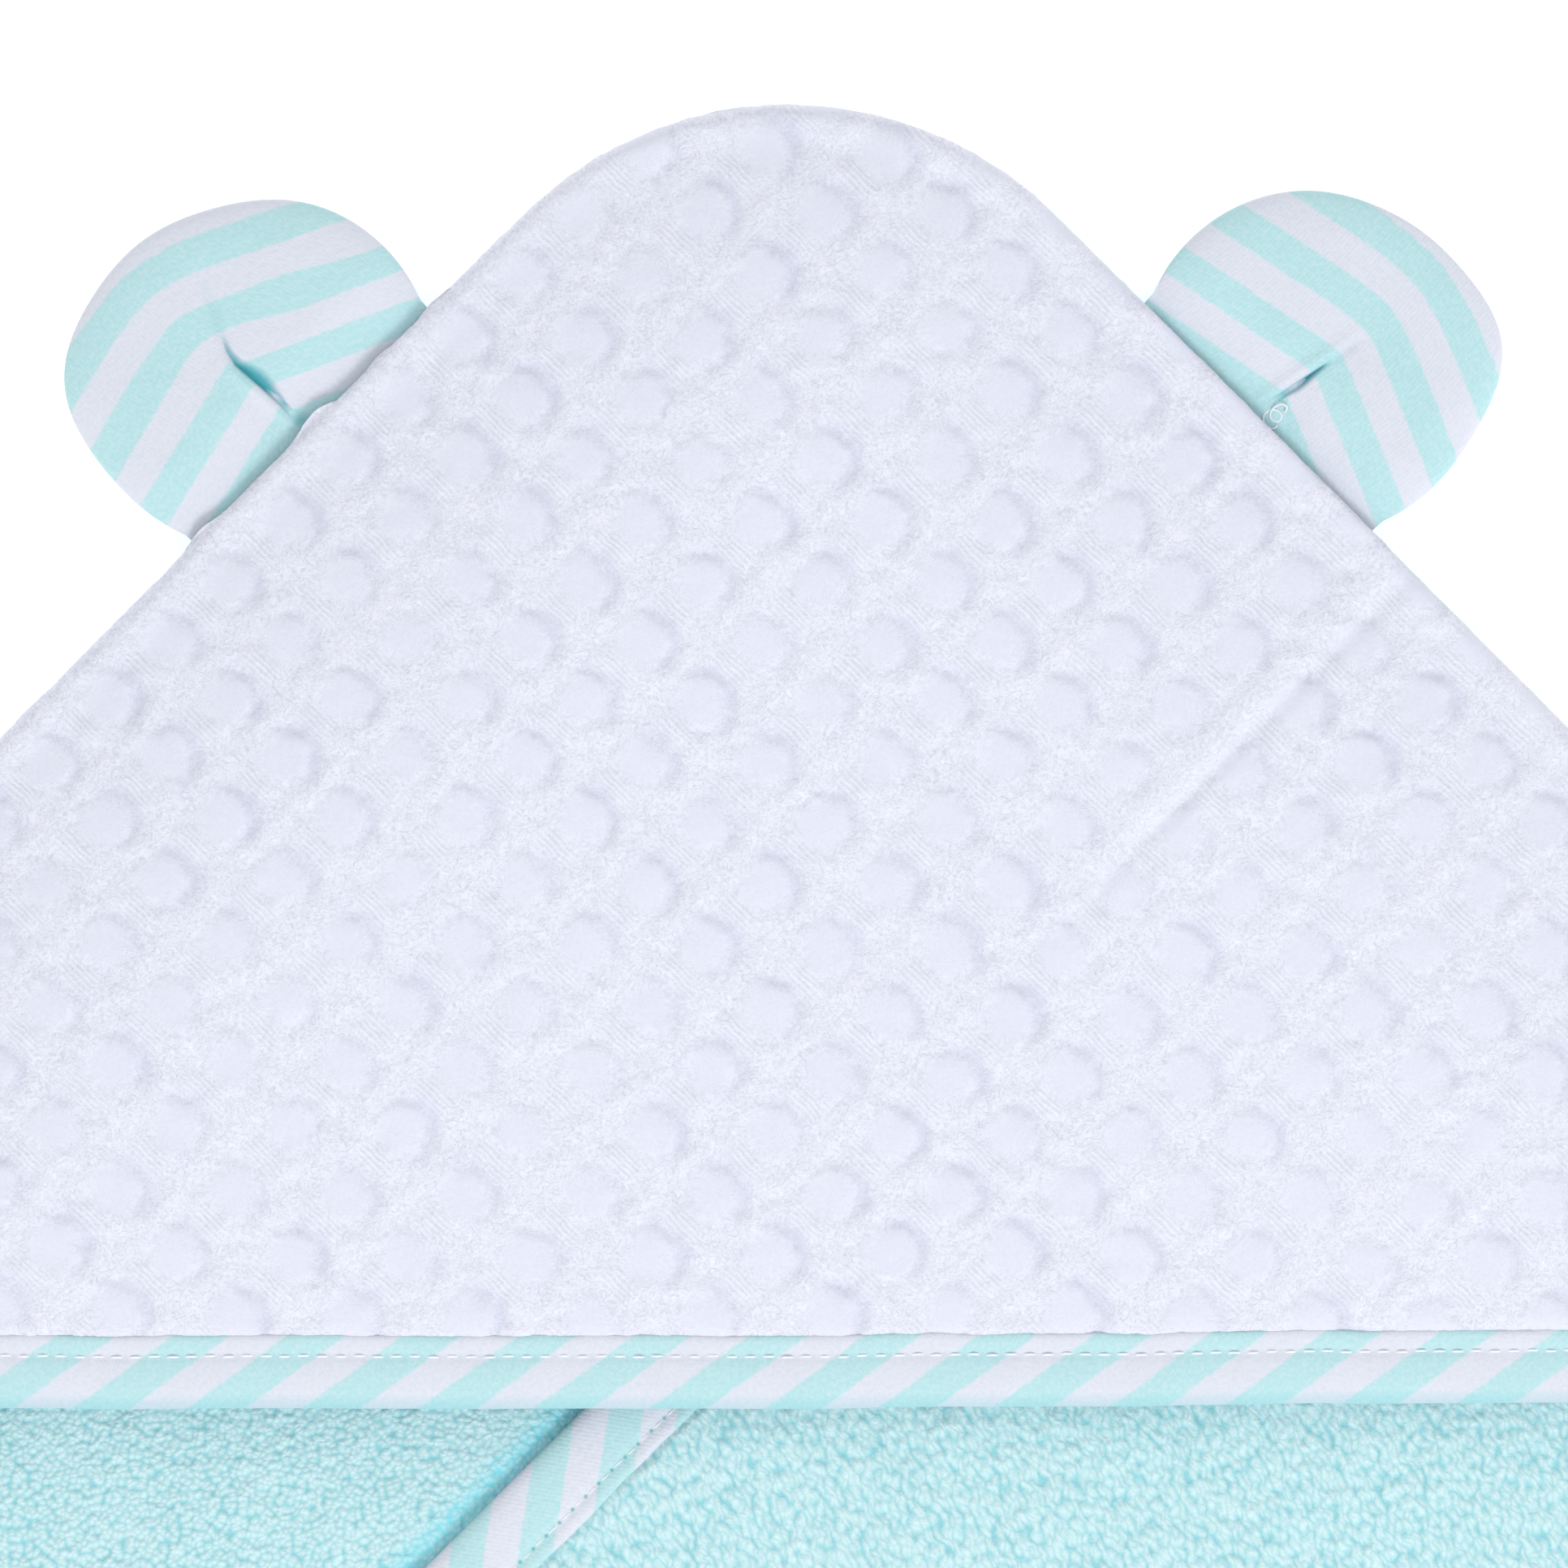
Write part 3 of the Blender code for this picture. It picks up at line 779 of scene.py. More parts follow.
def dimples(x, y):
    """The relief of the sculpted terry, with where its cushions, ribs and grooves are."""
    away, far = lattice_offset(x, y)
    up, down = away @ UP_RIGHT, away @ DOWN_RIGHT
    pitch = np.hypot(*LATTICE[0])
    rough, fine = noise(x, y, 2.2 * MM, 63), noise(x, y, 1.1 * MM, 64)
    own = noise(x, y, 13 * MM, 65)
    edge = CUSHION * (1 + 0.13 * rough + 0.10 * own)
    cushion = 1 - smooth(far, edge - 2.0 * MM, edge + 1.3 * MM)
    dome = np.clip(1 - (far / (edge * 1.22)) ** 2, 0, 1) * (0.30 + 0.18 * up / edge)
    open_side = np.clip((0.92 * up + 0.40 * down) / np.maximum(far, 1e-6), -1, 1)
    open_side = smooth(open_side, -0.25, 0.95)
    line = (far - edge - 0.70 * MM) / (1.05 * MM)
    depth = 0.95 * open_side * np.clip(0.75 + 0.75 * own + 0.45 * rough, 0, 1.4)
    groove = np.exp(-(line**2)) * (0.08 + depth)
    beside = (up - pitch * 0.54) / (2.1 * MM)
    beside = np.where(up < 0, (up + pitch * 0.46) / (2.1 * MM), beside)
    ribs = np.exp(-(beside**4) - (down / (3.3 * MM)) ** 4) * (1 - cushion)
    mound = np.exp(-(((np.abs(down) - pitch / 2) / (2.9 * MM)) ** 2) - (up / (3.4 * MM)) ** 2)
    relief = dome - 0.50 * groove + 0.20 * ribs * (0.7 + 0.6 * own) + 0.30 * mound
    relief += (0.24 * rough + 0.17 * fine) * (1 - 0.75 * cushion)
    return relief * MM, cushion, ribs, np.clip(groove, 0, 1)


def ear_share(x, y):
    """1 along the stretch of seam that holds an ear, fading to 0 past its ends."""
    along = (np.abs(x) - (y - EAR_BASE) - (CORNER_Y - EAR_BASE)) / ROOT_2
    return 1 - smooth(np.abs(along), 22 * MM, 30 * MM)


def crease(x, y):
    """A soft crease in the hood, from the right seam down towards its middle."""
    start, end = np.array([0.0915, 0.2950]), np.array([0.0300, 0.2330])
    length = np.hypot(*(end - start))
    way = (end - start) / length
    along = (x - start[0]) * way[0] + (y - start[1]) * way[1]
    across = (x - start[0]) * way[1] - (y - start[1]) * way[0] + 0.5 * MM * noise(x, y, 12 * MM, 66)
    held = smooth(along, -8 * MM, 4 * MM) * (1 - smooth(along, 0.45 * length, length))
    line = hump(across, 1.1 * MM)
    roll = hump(across - 3.4 * MM, 2.6 * MM)
    return MM * held * (0.30 * roll - 0.75 * line)


def panel_top(x, y):
    """The hood panel's upper face."""
    inset = hood_inset(x, y)
    relief = dimples(x, y)[0]
    behind = smooth(y - front_y(x), HOOD_BINDING - 1.3 * MM, HOOD_BINDING + 0.8 * MM)
    full = HOOD_TERRY - 0.6 * MM + relief + crease(x, y)
    high = roof_z(x, y) + 1.5 * MM + (full - 1.5 * MM) * behind
    edge = SEAM_LOW + 0.9 * MM + EAR_LIFT * ear_share(x, y)
    curl = np.sqrt(np.clip(1 - (1 - np.clip(inset / (2.4 * MM), 0, 1)) ** 2, 0, 1))
    return np.stack([x, y, edge + (high - edge) * curl], 1)


def panel_bottom(x, y):
    inset = hood_inset(x, y)
    behind = smooth(y - front_y(x), HOOD_BINDING - 0.6 * MM, HOOD_BINDING + 2.0 * MM)
    low = roof_z(x, y) + 0.9 * MM * (1 - behind)
    edge = SEAM_LOW + EAR_LIFT * ear_share(x, y)
    curl = smooth(inset, 0, RIM_WIDTH)
    return np.stack([x, y, edge + (low - edge) * curl], 1)


def hood_outline(inset, step, start_y):
    """Points along the hood's seams and tip, from right to left, from start_y up and down again."""
    radius = max(CORNER_RADIUS - inset, 0.1 * MM)
    middle = CORNER_Y - CORNER_RADIUS * ROOT_2
    half = CORNER_Y - start_y - inset * ROOT_2
    angles = np.radians(np.linspace(45, 135, max(8, round(radius * 1.57 / step))))
    arc = np.stack([radius * np.cos(angles), middle + radius * np.sin(angles)], 1)
    points = spaced(np.vstack([[[half, start_y]], arc, [[-half, start_y]]]), step)
    over_left_ear = ear_share(*points.T) * (points[:, 0] < 0)
    tufts = np.clip(0.3 + noise(points[:, 0] + points[:, 1], points[:, 0] * 0, 9 * MM, 67), 0, 1)
    push = (0.15 + 1.35 * over_left_ear) * MM * tufts + 0.12 * MM * noise(*points.T, 1.5 * MM, 68)
    push = push * smooth(points[:, 1], start_y, start_y + 6 * MM)
    outwards = np.stack([np.sign(points[:, 0]), np.ones(len(points))], 1) / ROOT_2
    tip = np.abs(points[:, 0]) < points[:, 1] - middle
    from_middle = points - (0, middle)
    outwards[tip] = (from_middle / np.hypot(*from_middle.T)[:, None])[tip]
    return points + outwards * push[:, None]


def cushion_centres(margin):
    """The cushions' centres on the hood, found by walking the lattice."""
    found = []
    for i in range(-40, 41):
        for j in range(-40, 41):
            centre = LATTICE_START + np.array([i, j]) @ LATTICE
            if abs(centre[0]) < WING_X and HOOD_FRONT_Y < centre[1] < HOOD_TIP_Y:
                found.append(centre)
    start = found = np.array(found)
    for _ in range(3):  # each pass comes nearer to the place that the bend shifts there
        found = start - lattice_bend(*found.T)
    return found[hood_inset(*found.T) > margin]


def hood_panel_points(low_y):
    """Points over the panel: rings round each cushion, and a fine grid between them."""
    parts = []
    rings = (
        (0, 1), (1.4, 6), (2.5, 12), (3.2, 18), (3.65, 26), (4.0, 28), (4.35, 28), (4.75, 28), (5.3, 24),
    )
    centres = cushion_centres(-3 * MM)
    for radius, count in rings:
        angles = np.arange(count) * 2 * math.pi / count + radius
        ring = radius * MM * np.stack([np.cos(angles), np.sin(angles)], 1)
        parts.append((centres[:, None, :] + ring[None]).reshape(-1, 2))
    between = hex_points(
        (-WING_X, low_y), (WING_X, HOOD_TIP_Y), 1.05 * MM,
        lambda x, y: lattice_offset(x, y)[1] > 5.9 * MM,
    )
    parts.append(between)
    points = np.vstack(parts)
    inset = hood_inset(*points.T)
    points = points[(inset > 3.6 * MM) & (points[:, 1] > low_y + 0.8 * MM)]
    edges = []
    for row in (0.25, 0.7, 1.3, 2.0, 2.9):
        ring = hood_outline(row * MM, 0.9 * MM, low_y)
        edges.append(ring[ring[:, 1] > low_y + 0.3 * MM])
    return np.vstack([points, *edges])


def hood_pieces():
    """The hood panel, the binding on its open edge, and the stitches along it."""
    start = HOOD_FRONT_Y + 3.5 * MM
    seam = hood_outline(0, 0.9 * MM, start)
    front = spaced(np.array([seam[-1], seam[0]]), 1.4 * MM)
    loop = np.vstack([seam, front[1:-1]])
    top = hood_panel_points(start)
    bottom = hex_points(
        (-WING_X, start), (WING_X, HOOD_TIP_Y), 5 * MM,
        lambda x, y: (hood_inset(x, y) > 2 * MM) & (y > start + 2 * MM),
    )
    shares = {
        "cushion": lambda x, y: dimples(x, y)[1],
        "ribs": lambda x, y: dimples(x, y)[2],
        "groove": lambda x, y: dimples(x, y)[3],
    }
    panel = slab("hood_panel_terry", loop, top, bottom, panel_top, panel_bottom, dimple, shares)
    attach(panel, "hood")
    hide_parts("hood_panel", "hood_seam_allowance")

    def on_hood(along, inset, lift):
        half = CORNER_Y - HOOD_FRONT_Y - inset
        x = np.clip(along, -half, half)
        y = front_y(x) + inset
        return np.stack([x, y, roof_z(x, y) + lift], 1)

    half = CORNER_Y - HOOD_FRONT_Y - HOOD_BINDING - 0.5 * MM
    end = half + HOOD_BINDING
    runs = np.concatenate([[-end], np.arange(-half, half, 0.7 * MM), [end]])
    binding = wrap("hood_edge_binding", runs, on_hood, HOOD_BINDING, HOOD_STITCH_INSET, 0,
                   binding_jersey, 0.32)
    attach(binding, "hood")
    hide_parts("hood_front_binding")
    lines = stitches("hood_edge_stitches", -half, half, on_hood, HOOD_STITCH_INSET, 0)
    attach(lines, "hood")
    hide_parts("hood_front_stitching", "hood_seam_stitching")
    return panel, binding, lines


# Bindings and their stitches, which follow any edge: at(along, inset, lift) places their points.


def wrap_section(width, stitch_inset, low):
    """The binding's section as (inset, lift) points, from its inner edge on top round to below."""
    high, middle = low + BINDING_HEIGHT, low + BINDING_HEIGHT / 2
    cloth = 0.6 * MM
    top = [
        (width, -0.55), (width + 0.05 * MM, -0.25), (width - 0.25 * MM, 0.02), (width - 1.0 * MM, 0.05),
        (stitch_inset + 0.55 * MM, -0.05), (stitch_inset, -0.30), (stitch_inset - 0.55 * MM, -0.05),
        (stitch_inset - 1.8 * MM, 0.16), (3.8 * MM, 0.22), (2.2 * MM, 0.10), (1.1 * MM, -0.20),
        (0.4 * MM, -0.60), (0.06 * MM, -0.95),
    ]
    upper = [(inset, high + rise * MM) for inset, rise in top]
    lower = [(inset, low - rise * MM) for inset, rise in top[::-1]]
    inside = [
        (width - 0.1 * MM, low + cloth + 0.1 * MM), (width / 2, low + cloth), (1.2 * MM, low + cloth),
        (0.75 * MM, middle), (1.2 * MM, high - cloth), (width / 2, high - cloth),
        (width - 0.1 * MM, high - cloth - 0.1 * MM),
    ]
    return upper + [(0, middle)] + lower + inside, len(upper)


def wrap(name, runs, at, width, stitch_inset, low, jersey, edge_shade=0.0):
    """A jersey strip folded over an edge, puffed between its stitches.

    edge_shade is how much darker it gets towards its outer edge, where it turns under.
    """
    section, turn = wrap_section(width, stitch_inset, low)
    inset, lift = np.array(section).T
    middle = low + BINDING_HEIGHT / 2
    count = len(section)
    along = np.repeat(runs, count)
    insets, lifts = np.tile(inset, len(runs)), np.tile(lift, len(runs))
    away = np.sign(lifts - middle)
    beat = np.cos(along / STITCH * 2 * math.pi)
    near_stitch = hump(insets - stitch_inset, 0.9 * MM)
    puff = 0.10 * noise(along, insets * 2 + lifts, 5 * MM, 71)
    puff = puff + 0.07 * noise(along, insets, 2.4 * MM, 72)
    lifts = lifts + away * MM * (puff - 0.10 * beat * near_stitch)
    uneven = 0.18 * MM * noise(along, insets * 0, 4 * MM, 73)
    insets = insets + uneven * smooth(insets, width * 0.6, width)
    points = at(along, insets, lifts)
    side = np.where(np.arange(count) <= turn, 1.0, -1.0)
    side[-7:] = np.where(inset[-7:] > 0, np.where(lift[-7:] > middle, 1.0, -1.0), 1.0)
    flat = np.stack([along, insets * np.tile(side, len(runs))], 1)
    faces = tube_section(count, len(runs))
    shade = edge_shade * (1 - smooth(insets, 0.2 * MM, 2.6 * MM))
    made = new_piece(name, points, faces, jersey, flat, {"shade": shade})
    return made


def stitches(name, start, end, at, inset, low, faces=(1,), sunk=0.18 * MM, thick=0.20 * MM):
    """A row of machine stitches along a binding. faces says on which sides they show."""
    ring = np.arange(6) * math.pi / 3
    steps = np.linspace(-1, 1, 6)
    length = 0.36 * STITCH
    middles = np.arange(start + STITCH, end - STITCH, STITCH) + STITCH / 2
    points, made_faces, flats = [], [], []
    count = len(ring) * len(steps)
    for side in faces:
        surface = low + BINDING_HEIGHT if side > 0 else low
        for number, middle in enumerate(middles):
            arch = 0.10 * MM - 0.34 * MM * np.abs(steps) ** 3
            thin = thick * (1 - 0.35 * np.abs(steps) ** 4)
            along = middle + length * np.repeat(steps, len(ring))
            insets = inset + 0.07 * MM * math.sin(number * 2.3)
            insets = insets + np.repeat(thin, 6) * np.tile(np.cos(ring), 6)
            lifts = np.repeat(arch, 6) - sunk + np.repeat(thin, 6) * np.tile(np.sin(ring), 6)
            points.append(np.stack([along, insets, surface + side * lifts], 1))
            base = (len(points) - 1) * count
            quads = tube_section(len(ring), len(steps))
            if side < 0:
                quads = [face[::-1] for face in quads]
            made_faces += [[base + i for i in face] for face in quads]
            flats.append(np.stack([along, insets], 1))
    places = np.vstack(points)
    made = new_piece(name, at(*places.T), made_faces, thread, np.vstack(flats))
    return made


class TowelEdge:
    """The flat towel's edge as a line to run along, with the way inwards at each place."""

    def __init__(self):
        self.points = towel_outline(0, 0.5 * MM)
        small = 0.05 * MM
        x, y = self.points.T
        inwards = np.stack(
            [
                towel_inset(x + small, y) - towel_inset(x - small, y),
                towel_inset(x, y + small) - towel_inset(x, y - small),
            ],
            1,
        )
        self.inwards = inwards / np.hypot(*inwards.T)[:, None]

    def run(self, keep):
        """The stretch where keep(x, y) holds: its length, and at(along, inset, lift)."""
        held = keep(*self.points.T)
        first = next(i for i in range(len(held)) if held[i] and not held[i - 1])
        order = [i for i in np.roll(np.arange(len(held)), -first) if held[i]]
        points, inwards = self.points[order], self.inwards[order]
        along = np.concatenate([[0], np.cumsum(np.hypot(*np.diff(points, axis=0).T))])

        def at(where, inset, lift):
            spot = [np.interp(where, along, points[:, k]) for k in (0, 1)]
            way = [np.interp(where, along, inwards[:, k]) for k in (0, 1)]
            return place(spot[0] + inset * way[0], spot[1] + inset * way[1], lift)

        return points, along, at


def edge_runs(points, along):
    """Places along an edge: far apart, but close where the camera is near or the foot folds."""
    steps = []
    position = along[0]
    while position < along[-1]:
        steps.append(position)
        x, y = (np.interp(position, along, points[:, k]) for k in (0, 1))
        close = near_share(np.array([x]), np.array([y]))[0] > 0.01
        folded = FOLD_Y - FOLD_ARC - 2 * MM < y < FOLD_Y + 2 * MM
        position += 0.7 * MM if close or folded else 3.5 * MM
    steps.append(along[-1])
    return np.array(steps)


def edge_pieces():
    """The binding round the towel and its stitches, in three pieces as the cloth is."""
    edge = TowelEdge()
    spans = [
        ("foot", None, lambda x, y: (y < FOLD_Y) & (np.abs(x) < CUT_X + 0.3 * MM)),
        ("left", -1, lambda x, y: (x < -CUT_X) & (y < HOOD_LINE_Y)),
        ("right", 1, lambda x, y: (x > CUT_X) & (y < HOOD_LINE_Y)),
    ]
    made = {}
    for name, side, keep in spans:
        points, along, at = edge.run(keep)
        binding = wrap(f"{name}_edge_binding", edge_runs(points, along), at, EDGE_BINDING,
                       EDGE_STITCH_INSET, BINDING_LIFT, edge_jersey)
        rows = stitches(f"{name}_edge_stitches", along[0], along[-1], at, EDGE_STITCH_INSET,
                        BINDING_LIFT, faces=(1, -1), sunk=0.27 * MM, thick=0.13 * MM)
        for piece in (binding, rows):
            if side is None:
                bend_with_hood(piece)
            else:
                bend_with_wing(piece)
        made[name] = (binding, rows)
    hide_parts("foot_left_binding", "foot_right_binding", "foot_tip_binding")
    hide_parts("foot_left_stitching", "foot_right_stitching", "foot_tip_stitching")
    for name in ("left", "right"):
        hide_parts(f"{name}_wing_binding", f"foot_{name}_corner_binding")
        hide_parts(f"{name}_wing_stitching", f"foot_{name}_corner_stitching")
    return made


# Ears.

EAR_CENTRE = 11.6 * MM  # how far outside the seam the ear's round part is centred
EAR_TOP = 38 * MM
EAR_SIDE = 27.5 * MM
EAR_MIDDLE_Z = JOINTS["ear_left_flop"].z - 0.2 * MM
EAR_ROOT = 5.0 * MM  # how far the shells reach in under the hood panel


class Ear:
    """One ear in its own plan: along the seam, and out from it, with its pleat and its stripes.

    swells are (degrees from straight out, extra radius, spread) of its not quite round outline. The
    pleat is a line of (along, out) points: the lobe on its over side lies over a slot darkened with painted
    shade.
    """

    def __init__(self, name, side, middle, radius, swells, pleat, over, slot, bends, slopes):
        self.name, self.middle_along, self.radius, self.swells = name, middle, radius, swells
        self.pleat_along, self.pleat_out = (np.array(values) * MM for values in zip(*pleat))
        self.over, self.slot_width, self.slot_depth = over, slot[0] * MM, slot[1] * MM
        self.bend_along, self.bend_out = (np.array(values) * MM for values in zip(*bends))
        self.slopes = slopes
        self.base = np.array([side * (CORNER_Y - EAR_BASE), EAR_BASE])
        self.along = np.array([side, -1]) / ROOT_2
        self.out = np.array([side, 1]) / ROOT_2

    def reach(self, angle):
        """The outline's radius at an angle from straight out."""
        swollen = [size * np.exp(-(((angle - math.radians(turn)) / math.radians(spread)) ** 2))
                   for turn, size, spread in self.swells]
        return (self.radius + sum(swollen)) * MM

    def loop(self, step):
        angles = np.radians(np.linspace(111, -111, 260))
        rounded = np.stack([np.sin(angles), np.cos(angles)], 1) * self.reach(angles)[:, None]
        rounded += (self.middle_along * MM, EAR_CENTRE)
        right, left = rounded[0, 0] - 0.5 * MM, rounded[-1, 0] + 0.5 * MM
        return spaced(np.vstack([rounded, [[left, -EAR_ROOT]], [[right, -EAR_ROOT]]]), step, closed=True)

    def inset(self, along, out):
        across, up = along - self.middle_along * MM, out - EAR_CENTRE
        angle = np.arctan2(across, up)
        held = np.minimum(np.abs(angle), math.radians(111)) * np.sign(angle)
        low = out < EAR_CENTRE + self.radius * MM * math.cos(math.radians(111))
        side = self.radius * MM * math.sin(math.radians(111)) - 0.3 * MM - np.abs(across)
        return np.where(low, side, self.reach(held) - np.hypot(across, up))

    def bulge(self, along, out):
        """The thickness of one side of the ear."""
        edge = np.clip(self.inset(along, out) / (8 * MM), 0, 1)
        return (0.35 + 2.15 * smooth(out, 0, 12 * MM)) * MM * np.sqrt(1 - (1 - edge) ** 2)

    def slot(self, along, out):
        """How open the pleat is at a point, from 0 to 1, and how much it creases the cloth."""
        across = (along - np.interp(out, self.pleat_out, self.pleat_along)) * -self.over
        up = out / self.pleat_out[-1]
        mouth = np.exp(-(((up - 0.38) / 0.17) ** 2))
        wide = 0.38 * MM + self.slot_width * mouth
        far_side, near_side = smooth(across, 0.15 * wide, wide), smooth(-across, 0, 0.2 * MM)
        open_part = np.where(across > 0, 1 - far_side, 1 - near_side)
        held = 1 - smooth(up, 0.58, 0.72)
        soft_line = hump(across, 0.8 * MM) * (1 - smooth(up, 0.85, 1.05))
        low_part = 0.85 * (1 - smooth(up, 0.2, 0.5))
        return open_part * held * np.maximum(0.35 + 0.65 * mouth, low_part), soft_line, across

    def front_z(self, along, out):
        opened, line, across = self.slot(along, out)
        lip = 0.45 * MM * hump(across + 1.0 * MM, 1.2 * MM)
        lip = lip * (1 - smooth(out, 12 * MM, 24 * MM))
        valley = 0.55 * MM * hump(across, 5 * MM) * (1 - smooth(out, 14 * MM, 32 * MM))
        soft = 0.22 * MM * noise(along, out, 9 * MM, 81) + 0.06 * MM * noise(along, out, 2.5 * MM, 82)
        sides = smooth(self.inset(along, out), 0, 3 * MM)
        relief = sides * (lip + soft - valley - 0.3 * MM * line)
        z = self.middle(along, out) + self.bulge(along, out) + relief
        return z - self.slot_depth * opened * sides

    def back_z(self, along, out):
        return self.middle(along, out) - 0.80 * self.bulge(along, out)

    def middle(self, along, out):
        return EAR_MIDDLE_Z - 2.2 * MM * smooth(out, 2 * MM, EAR_TOP) + 0 * along

    def shade(self, along, out):
        """Painted shade: 1 in the pleat's slot, and a little by the hood's edge."""
        opened, line, _ = self.slot(along, out)
        by_hood = 0.08 * (1 - smooth(out, 0.2 * MM, 3.6 * MM))
        return np.clip(np.maximum(opened * 1.15, by_hood) + 0.10 * line, 0, 1)

    def stripes(self, along, out):
        """The ear cloth's own coordinates, in which its stripes are straight."""
        aside = along - np.interp(out, self.bend_out, self.bend_along)
        slope = np.where(aside > 0, self.slopes[1], self.slopes[0])
        soft = 0.5 * MM + 7.5 * MM * np.clip((out - 12 * MM) / (22 * MM), 0, 1) ** 1.5
        step = 1.4 * MM * (self.over > 0) * (aside < 0) * (1 - smooth(out, 13 * MM, 20 * MM))
        return np.stack([aside, out + (np.sqrt(aside**2 + soft**2) - soft) * slope + step], 1)

    def shell(self, part, faces, step):
        loop = self.loop(0.8 * MM)

        def at(face_z):
            def points(along, out):
                flat = self.base + np.outer(along, self.along) + np.outer(out, self.out)
                return np.column_stack([flat, face_z(along, out)])

            return points

        def inner(size, fine):
            low, high = (-EAR_SIDE - 4 * MM, -EAR_ROOT), (EAR_SIDE + 4 * MM, EAR_TOP + 2 * MM)
            points = hex_points(
                low, high, size,
                lambda a, w: (self.inset(a, w) > 1.2 * MM) & (w > -EAR_ROOT + 0.6 * MM),
            )
            rows = [points]
            if fine:
                out = np.arange(0.2 * MM, self.pleat_out[-1], 0.35 * MM)
                line = np.interp(out, self.pleat_out, self.pleat_along)
                pleat = np.interp(points[:, 1], self.pleat_out, self.pleat_along)
                near = np.abs(points[:, 0] - pleat) < 3.2 * MM
                rows[0] = points[~(near & (points[:, 1] > 0) & (points[:, 1] < out[-1]))]
                rows += [np.stack([line + aside * MM, out], 1) for aside in np.arange(-3.0, 3.1, 0.25)]
            round_part = loop[loop[:, 1] > EAR_CENTRE - 8 * MM]
            away = round_part - (self.middle_along * MM, EAR_CENTRE)
            for inset in (0.12, 0.4, 0.8):
                ring = round_part - away * (inset * MM / np.hypot(*away.T))[:, None]
                rows.append(ring)
            return np.vstack(rows)

        top_z, bottom_z = faces
        made = slab(f"{self.name}_{part}_shell", loop, inner(step, part == "front"), inner(2 * MM, False),
                    at(top_z), at(bottom_z), ear_jersey)
        co = np.zeros(len(made.data.vertices) * 3)
        made.data.vertices.foreach_get("co", co)
        plan = co.reshape(-1, 3)[:, :2] - self.base
        along, out = plan @ self.along, plan @ self.out
        flat = np.zeros((len(along), 3), np.float32)
        flat[:, :2] = self.stripes(along, out)
        made.data.attributes["flat_place"].data.foreach_set("vector", flat.ravel())
        if part == "front":
            held = made.data.attributes.new("shade", "FLOAT", "POINT")
            held.data.foreach_set("value", self.shade(along, out).astype(np.float32))
        self.blend(made)
        return made

    def blend(self, piece):
        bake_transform(piece)

    def build(self):
        front = self.shell("front", (self.front_z, lambda a, w: self.middle(a, w) + 0.1 * MM), 0.5 * MM)
        back = self.shell("back", (lambda a, w: self.middle(a, w) - 0.1 * MM, self.back_z), 2 * MM)
        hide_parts(f"{self.name}_front", f"{self.name}_root")
        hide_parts(f"{self.name}_back")
        return front, back


def loose_thread(ear):
    """A curl of sewing thread left at the foot of an ear's pleat."""
    turn = np.linspace(0, 1, 60)
    along = (-0.4 + 1.35 * np.cos(turn * 13) * (0.55 + 0.5 * turn)) * MM
    out = (3.3 - 2.7 * turn + 1.15 * np.sin(turn * 13)) * MM
    centre = np.column_stack([ear.base + np.outer(along, ear.along) + np.outer(out, ear.out),
                              ear.front_z(along, out) + (0.30 + 0.25 * np.sin(turn * 9)) * MM])
    way = np.gradient(centre, axis=0)
    way /= np.linalg.norm(way, axis=1)[:, None]
    side = np.cross(way, (0, 0, 1))
    side /= np.linalg.norm(side, axis=1)[:, None]
    up = np.cross(side, way)
    ring = np.arange(6) * math.pi / 3
    turned = np.cos(ring)[None, :, None], np.sin(ring)[None, :, None]
    offset = 0.16 * MM * (side[:, None] * turned[0] + up[:, None] * turned[1])
    points = (centre[:, None] + offset).reshape(-1, 3)
    flat = np.stack([np.repeat(turn * 20 * MM, 6), np.tile(ring, 60) * 0.16 * MM], 1)
    made = new_piece("ear_right_loose_thread", points, tube_section(6, 60), thread, flat)
    ear.blend(made)
    return made


towel = towel_pieces()
edges = edge_pieces()
hood = hood_pieces()
left_ear = Ear(
    "ear_left", -1, 0.0, 26.9, ((48, 2.4, 24), (-30, -1.2, 26)),
    pleat=((0.7, -6), (0.7, 1), (1.0, 6.3), (1.6, 14.7), (1.0, 17), (-1.0, 21), (-4.4, 28.5)),
    over=1, slot=(2.3, 1.5), bends=((0.7, 0), (1.4, 14), (4.0, 23), (4.5, 34)), slopes=(0.46, 0.23),
)
right_ear = Ear(
    "ear_right", 1, -2.0, 26.2, ((40, 2.7, 22), (-22, -0.5, 22)),
    pleat=((-3.2, -6), (-2.8, 0.8), (-1.6, 7), (-0.2, 14.1), (0.7, 20)),
    over=-1, slot=(0.9, 1.6), bends=((-2.8, 0), (-0.4, 14), (-0.4, 24), (-1.0, 34)), slopes=(0.20, 0.39),
)
ears = [left_ear.build(), right_ear.build()]
thread_end = loose_thread(right_ear)

def declare(piece, with_pieces=()):
    """Takes a piece and the pieces that go with it, and records nothing."""
    list(with_pieces)


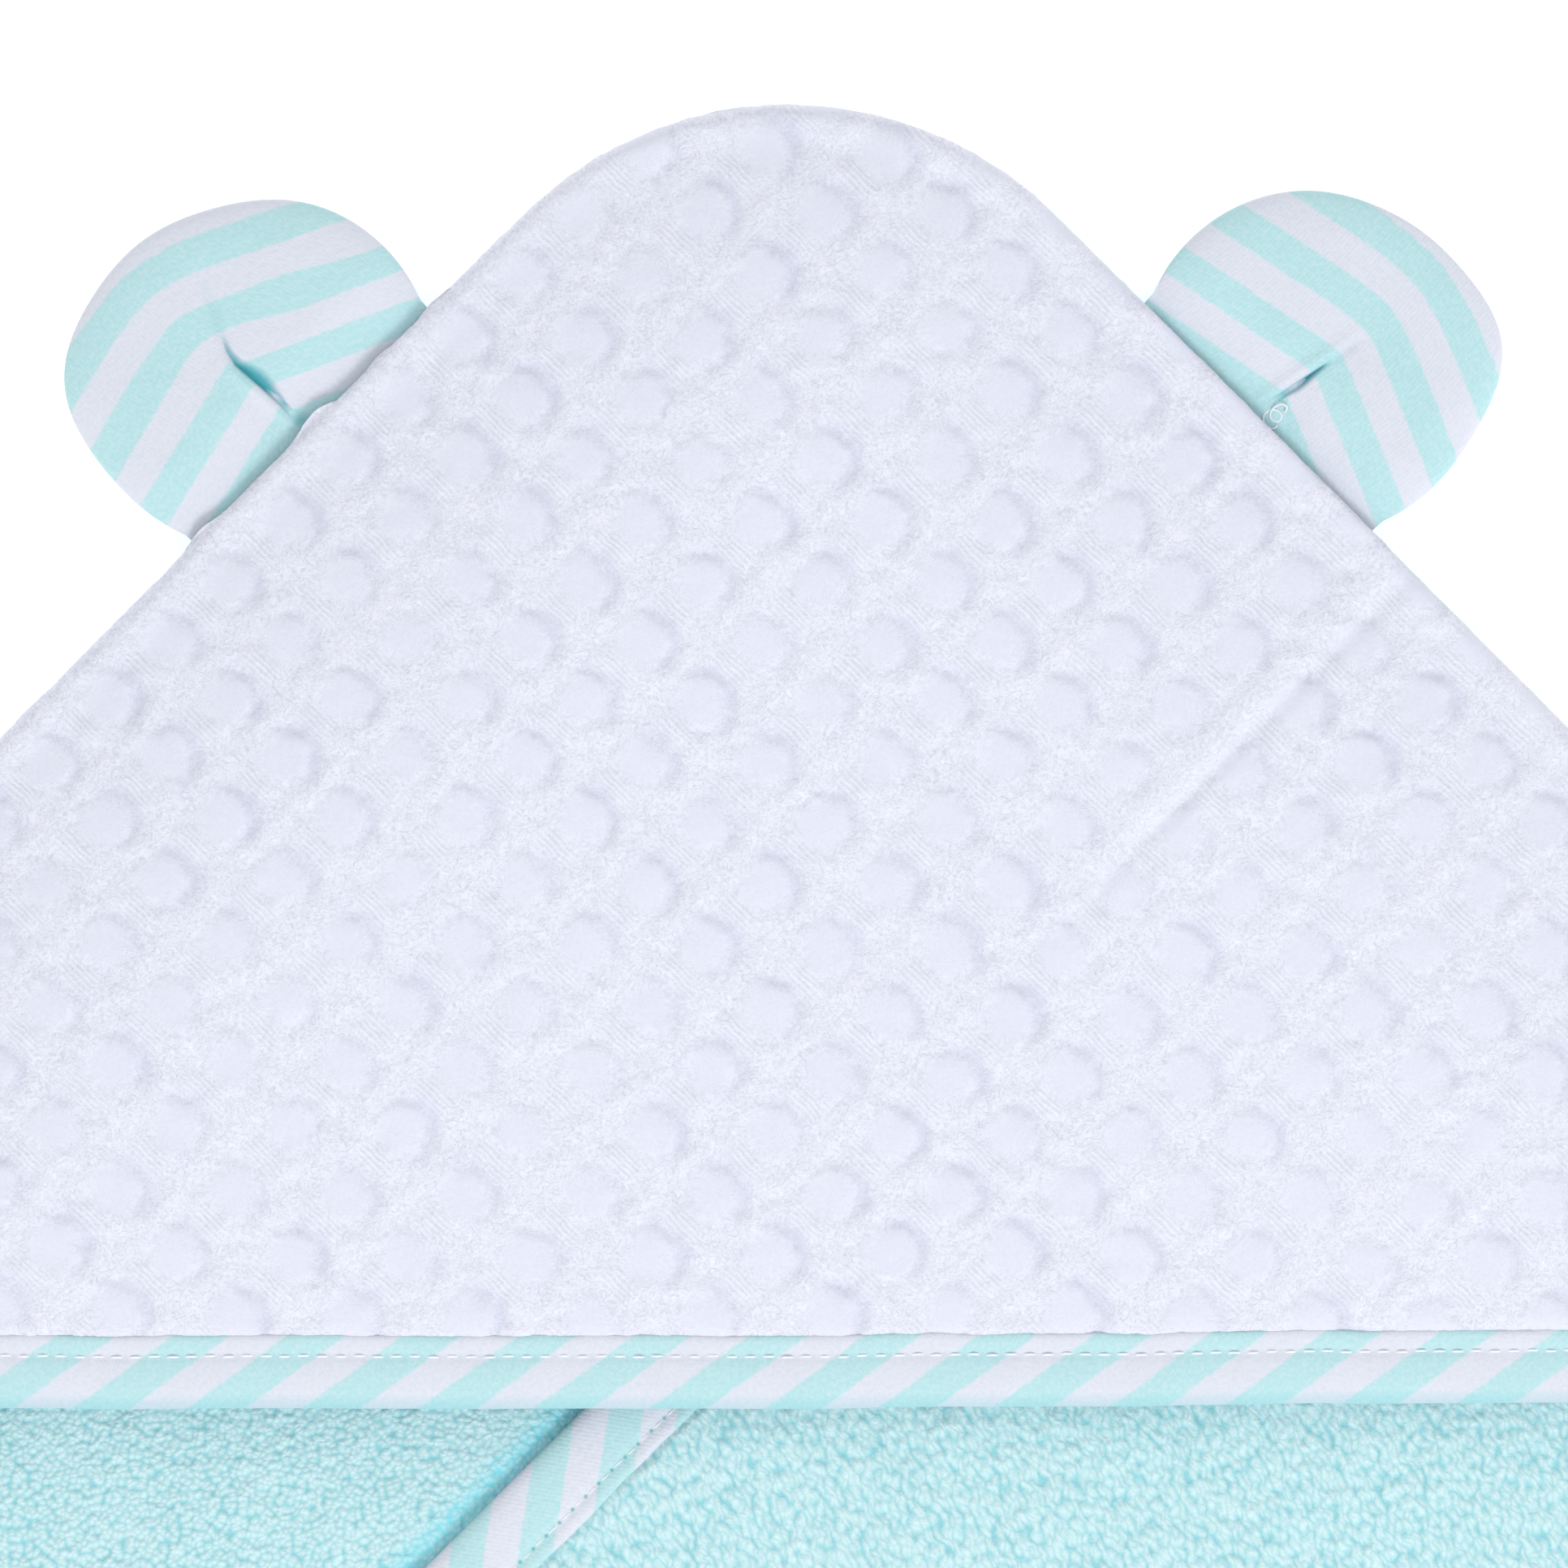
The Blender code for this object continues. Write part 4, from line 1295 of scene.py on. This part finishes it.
panel, hood_binding, hood_lines = hood
for piece in towel:
    declare(piece)
for piece, carrier in zip((edges["foot"], edges["left"], edges["right"]), towel):
    declare(piece[0], piece[1:2])
declare(panel)
declare(hood_binding, [hood_lines])
for (front, back), extra in zip(ears, ([], [thread_end])):
    declare(front, extra)
    declare(back)


# The picture.


def plain_material(name, colour, glow):
    n = Nodes(name, 0.9)
    n.shader.inputs["Base Color"].default_value = (*colour, 1)
    n.shader.inputs["Emission Color"].default_value = (1, 1, 1, 1)
    n.shader.inputs["Emission Strength"].default_value = glow
    return n.material


floor_mesh = bpy.data.meshes.new("floor")
reach = 6.0
corners = [(-reach, -reach, 0), (reach, -reach, 0), (reach, reach, 0), (-reach, reach, 0)]
floor_mesh.from_pydata(corners, [], [(0, 1, 2, 3)])
floor_mesh.materials.append(plain_material("floor", (0.93, 0.93, 0.93), 0.45))
floor = bpy.data.objects.new("floor", floor_mesh)
floor.location.z = -0.5 * MM
bpy.context.scene.collection.objects.link(floor)

world = bpy.data.worlds.new("studio")
world.use_nodes = True
world.node_tree.nodes["Background"].inputs["Color"].default_value = (1, 1, 1, 1)
world.node_tree.nodes["Background"].inputs["Strength"].default_value = 0.86
bpy.context.scene.world = world


def area_light(name, place_, target, size, power):
    light = bpy.data.lights.new(name, "AREA")
    light.size = size
    light.energy = power
    made = bpy.data.objects.new(name, light)
    made.location = place_
    made.rotation_euler = (Vector(target) - Vector(place_)).to_track_quat("-Z", "Y").to_euler()
    bpy.context.scene.collection.objects.link(made)


VIEW_WIDTH = 0.2356
CAMERA_UP = 2.0
view_centre = Vector((-0.85 * MM, HOOD_TIP_Y - 102.5 * MM, 0))
area_light("key", view_centre + Vector((0.5, -1.5, 1.6)), view_centre, 0.7, 22)

camera_data = bpy.data.cameras.new("camera")
camera_data.sensor_width = 36
camera_data.lens = 36 * CAMERA_UP / VIEW_WIDTH
camera_data.clip_start = 0.1
camera_data.clip_end = 20
camera = bpy.data.objects.new("camera", camera_data)
camera.location = view_centre + Vector((0, 0, CAMERA_UP + ROOF_LOW + HOOD_TERRY))
bpy.context.scene.collection.objects.link(camera)
bpy.context.scene.camera = camera
bpy.context.scene.view_settings.view_transform = "Standard"
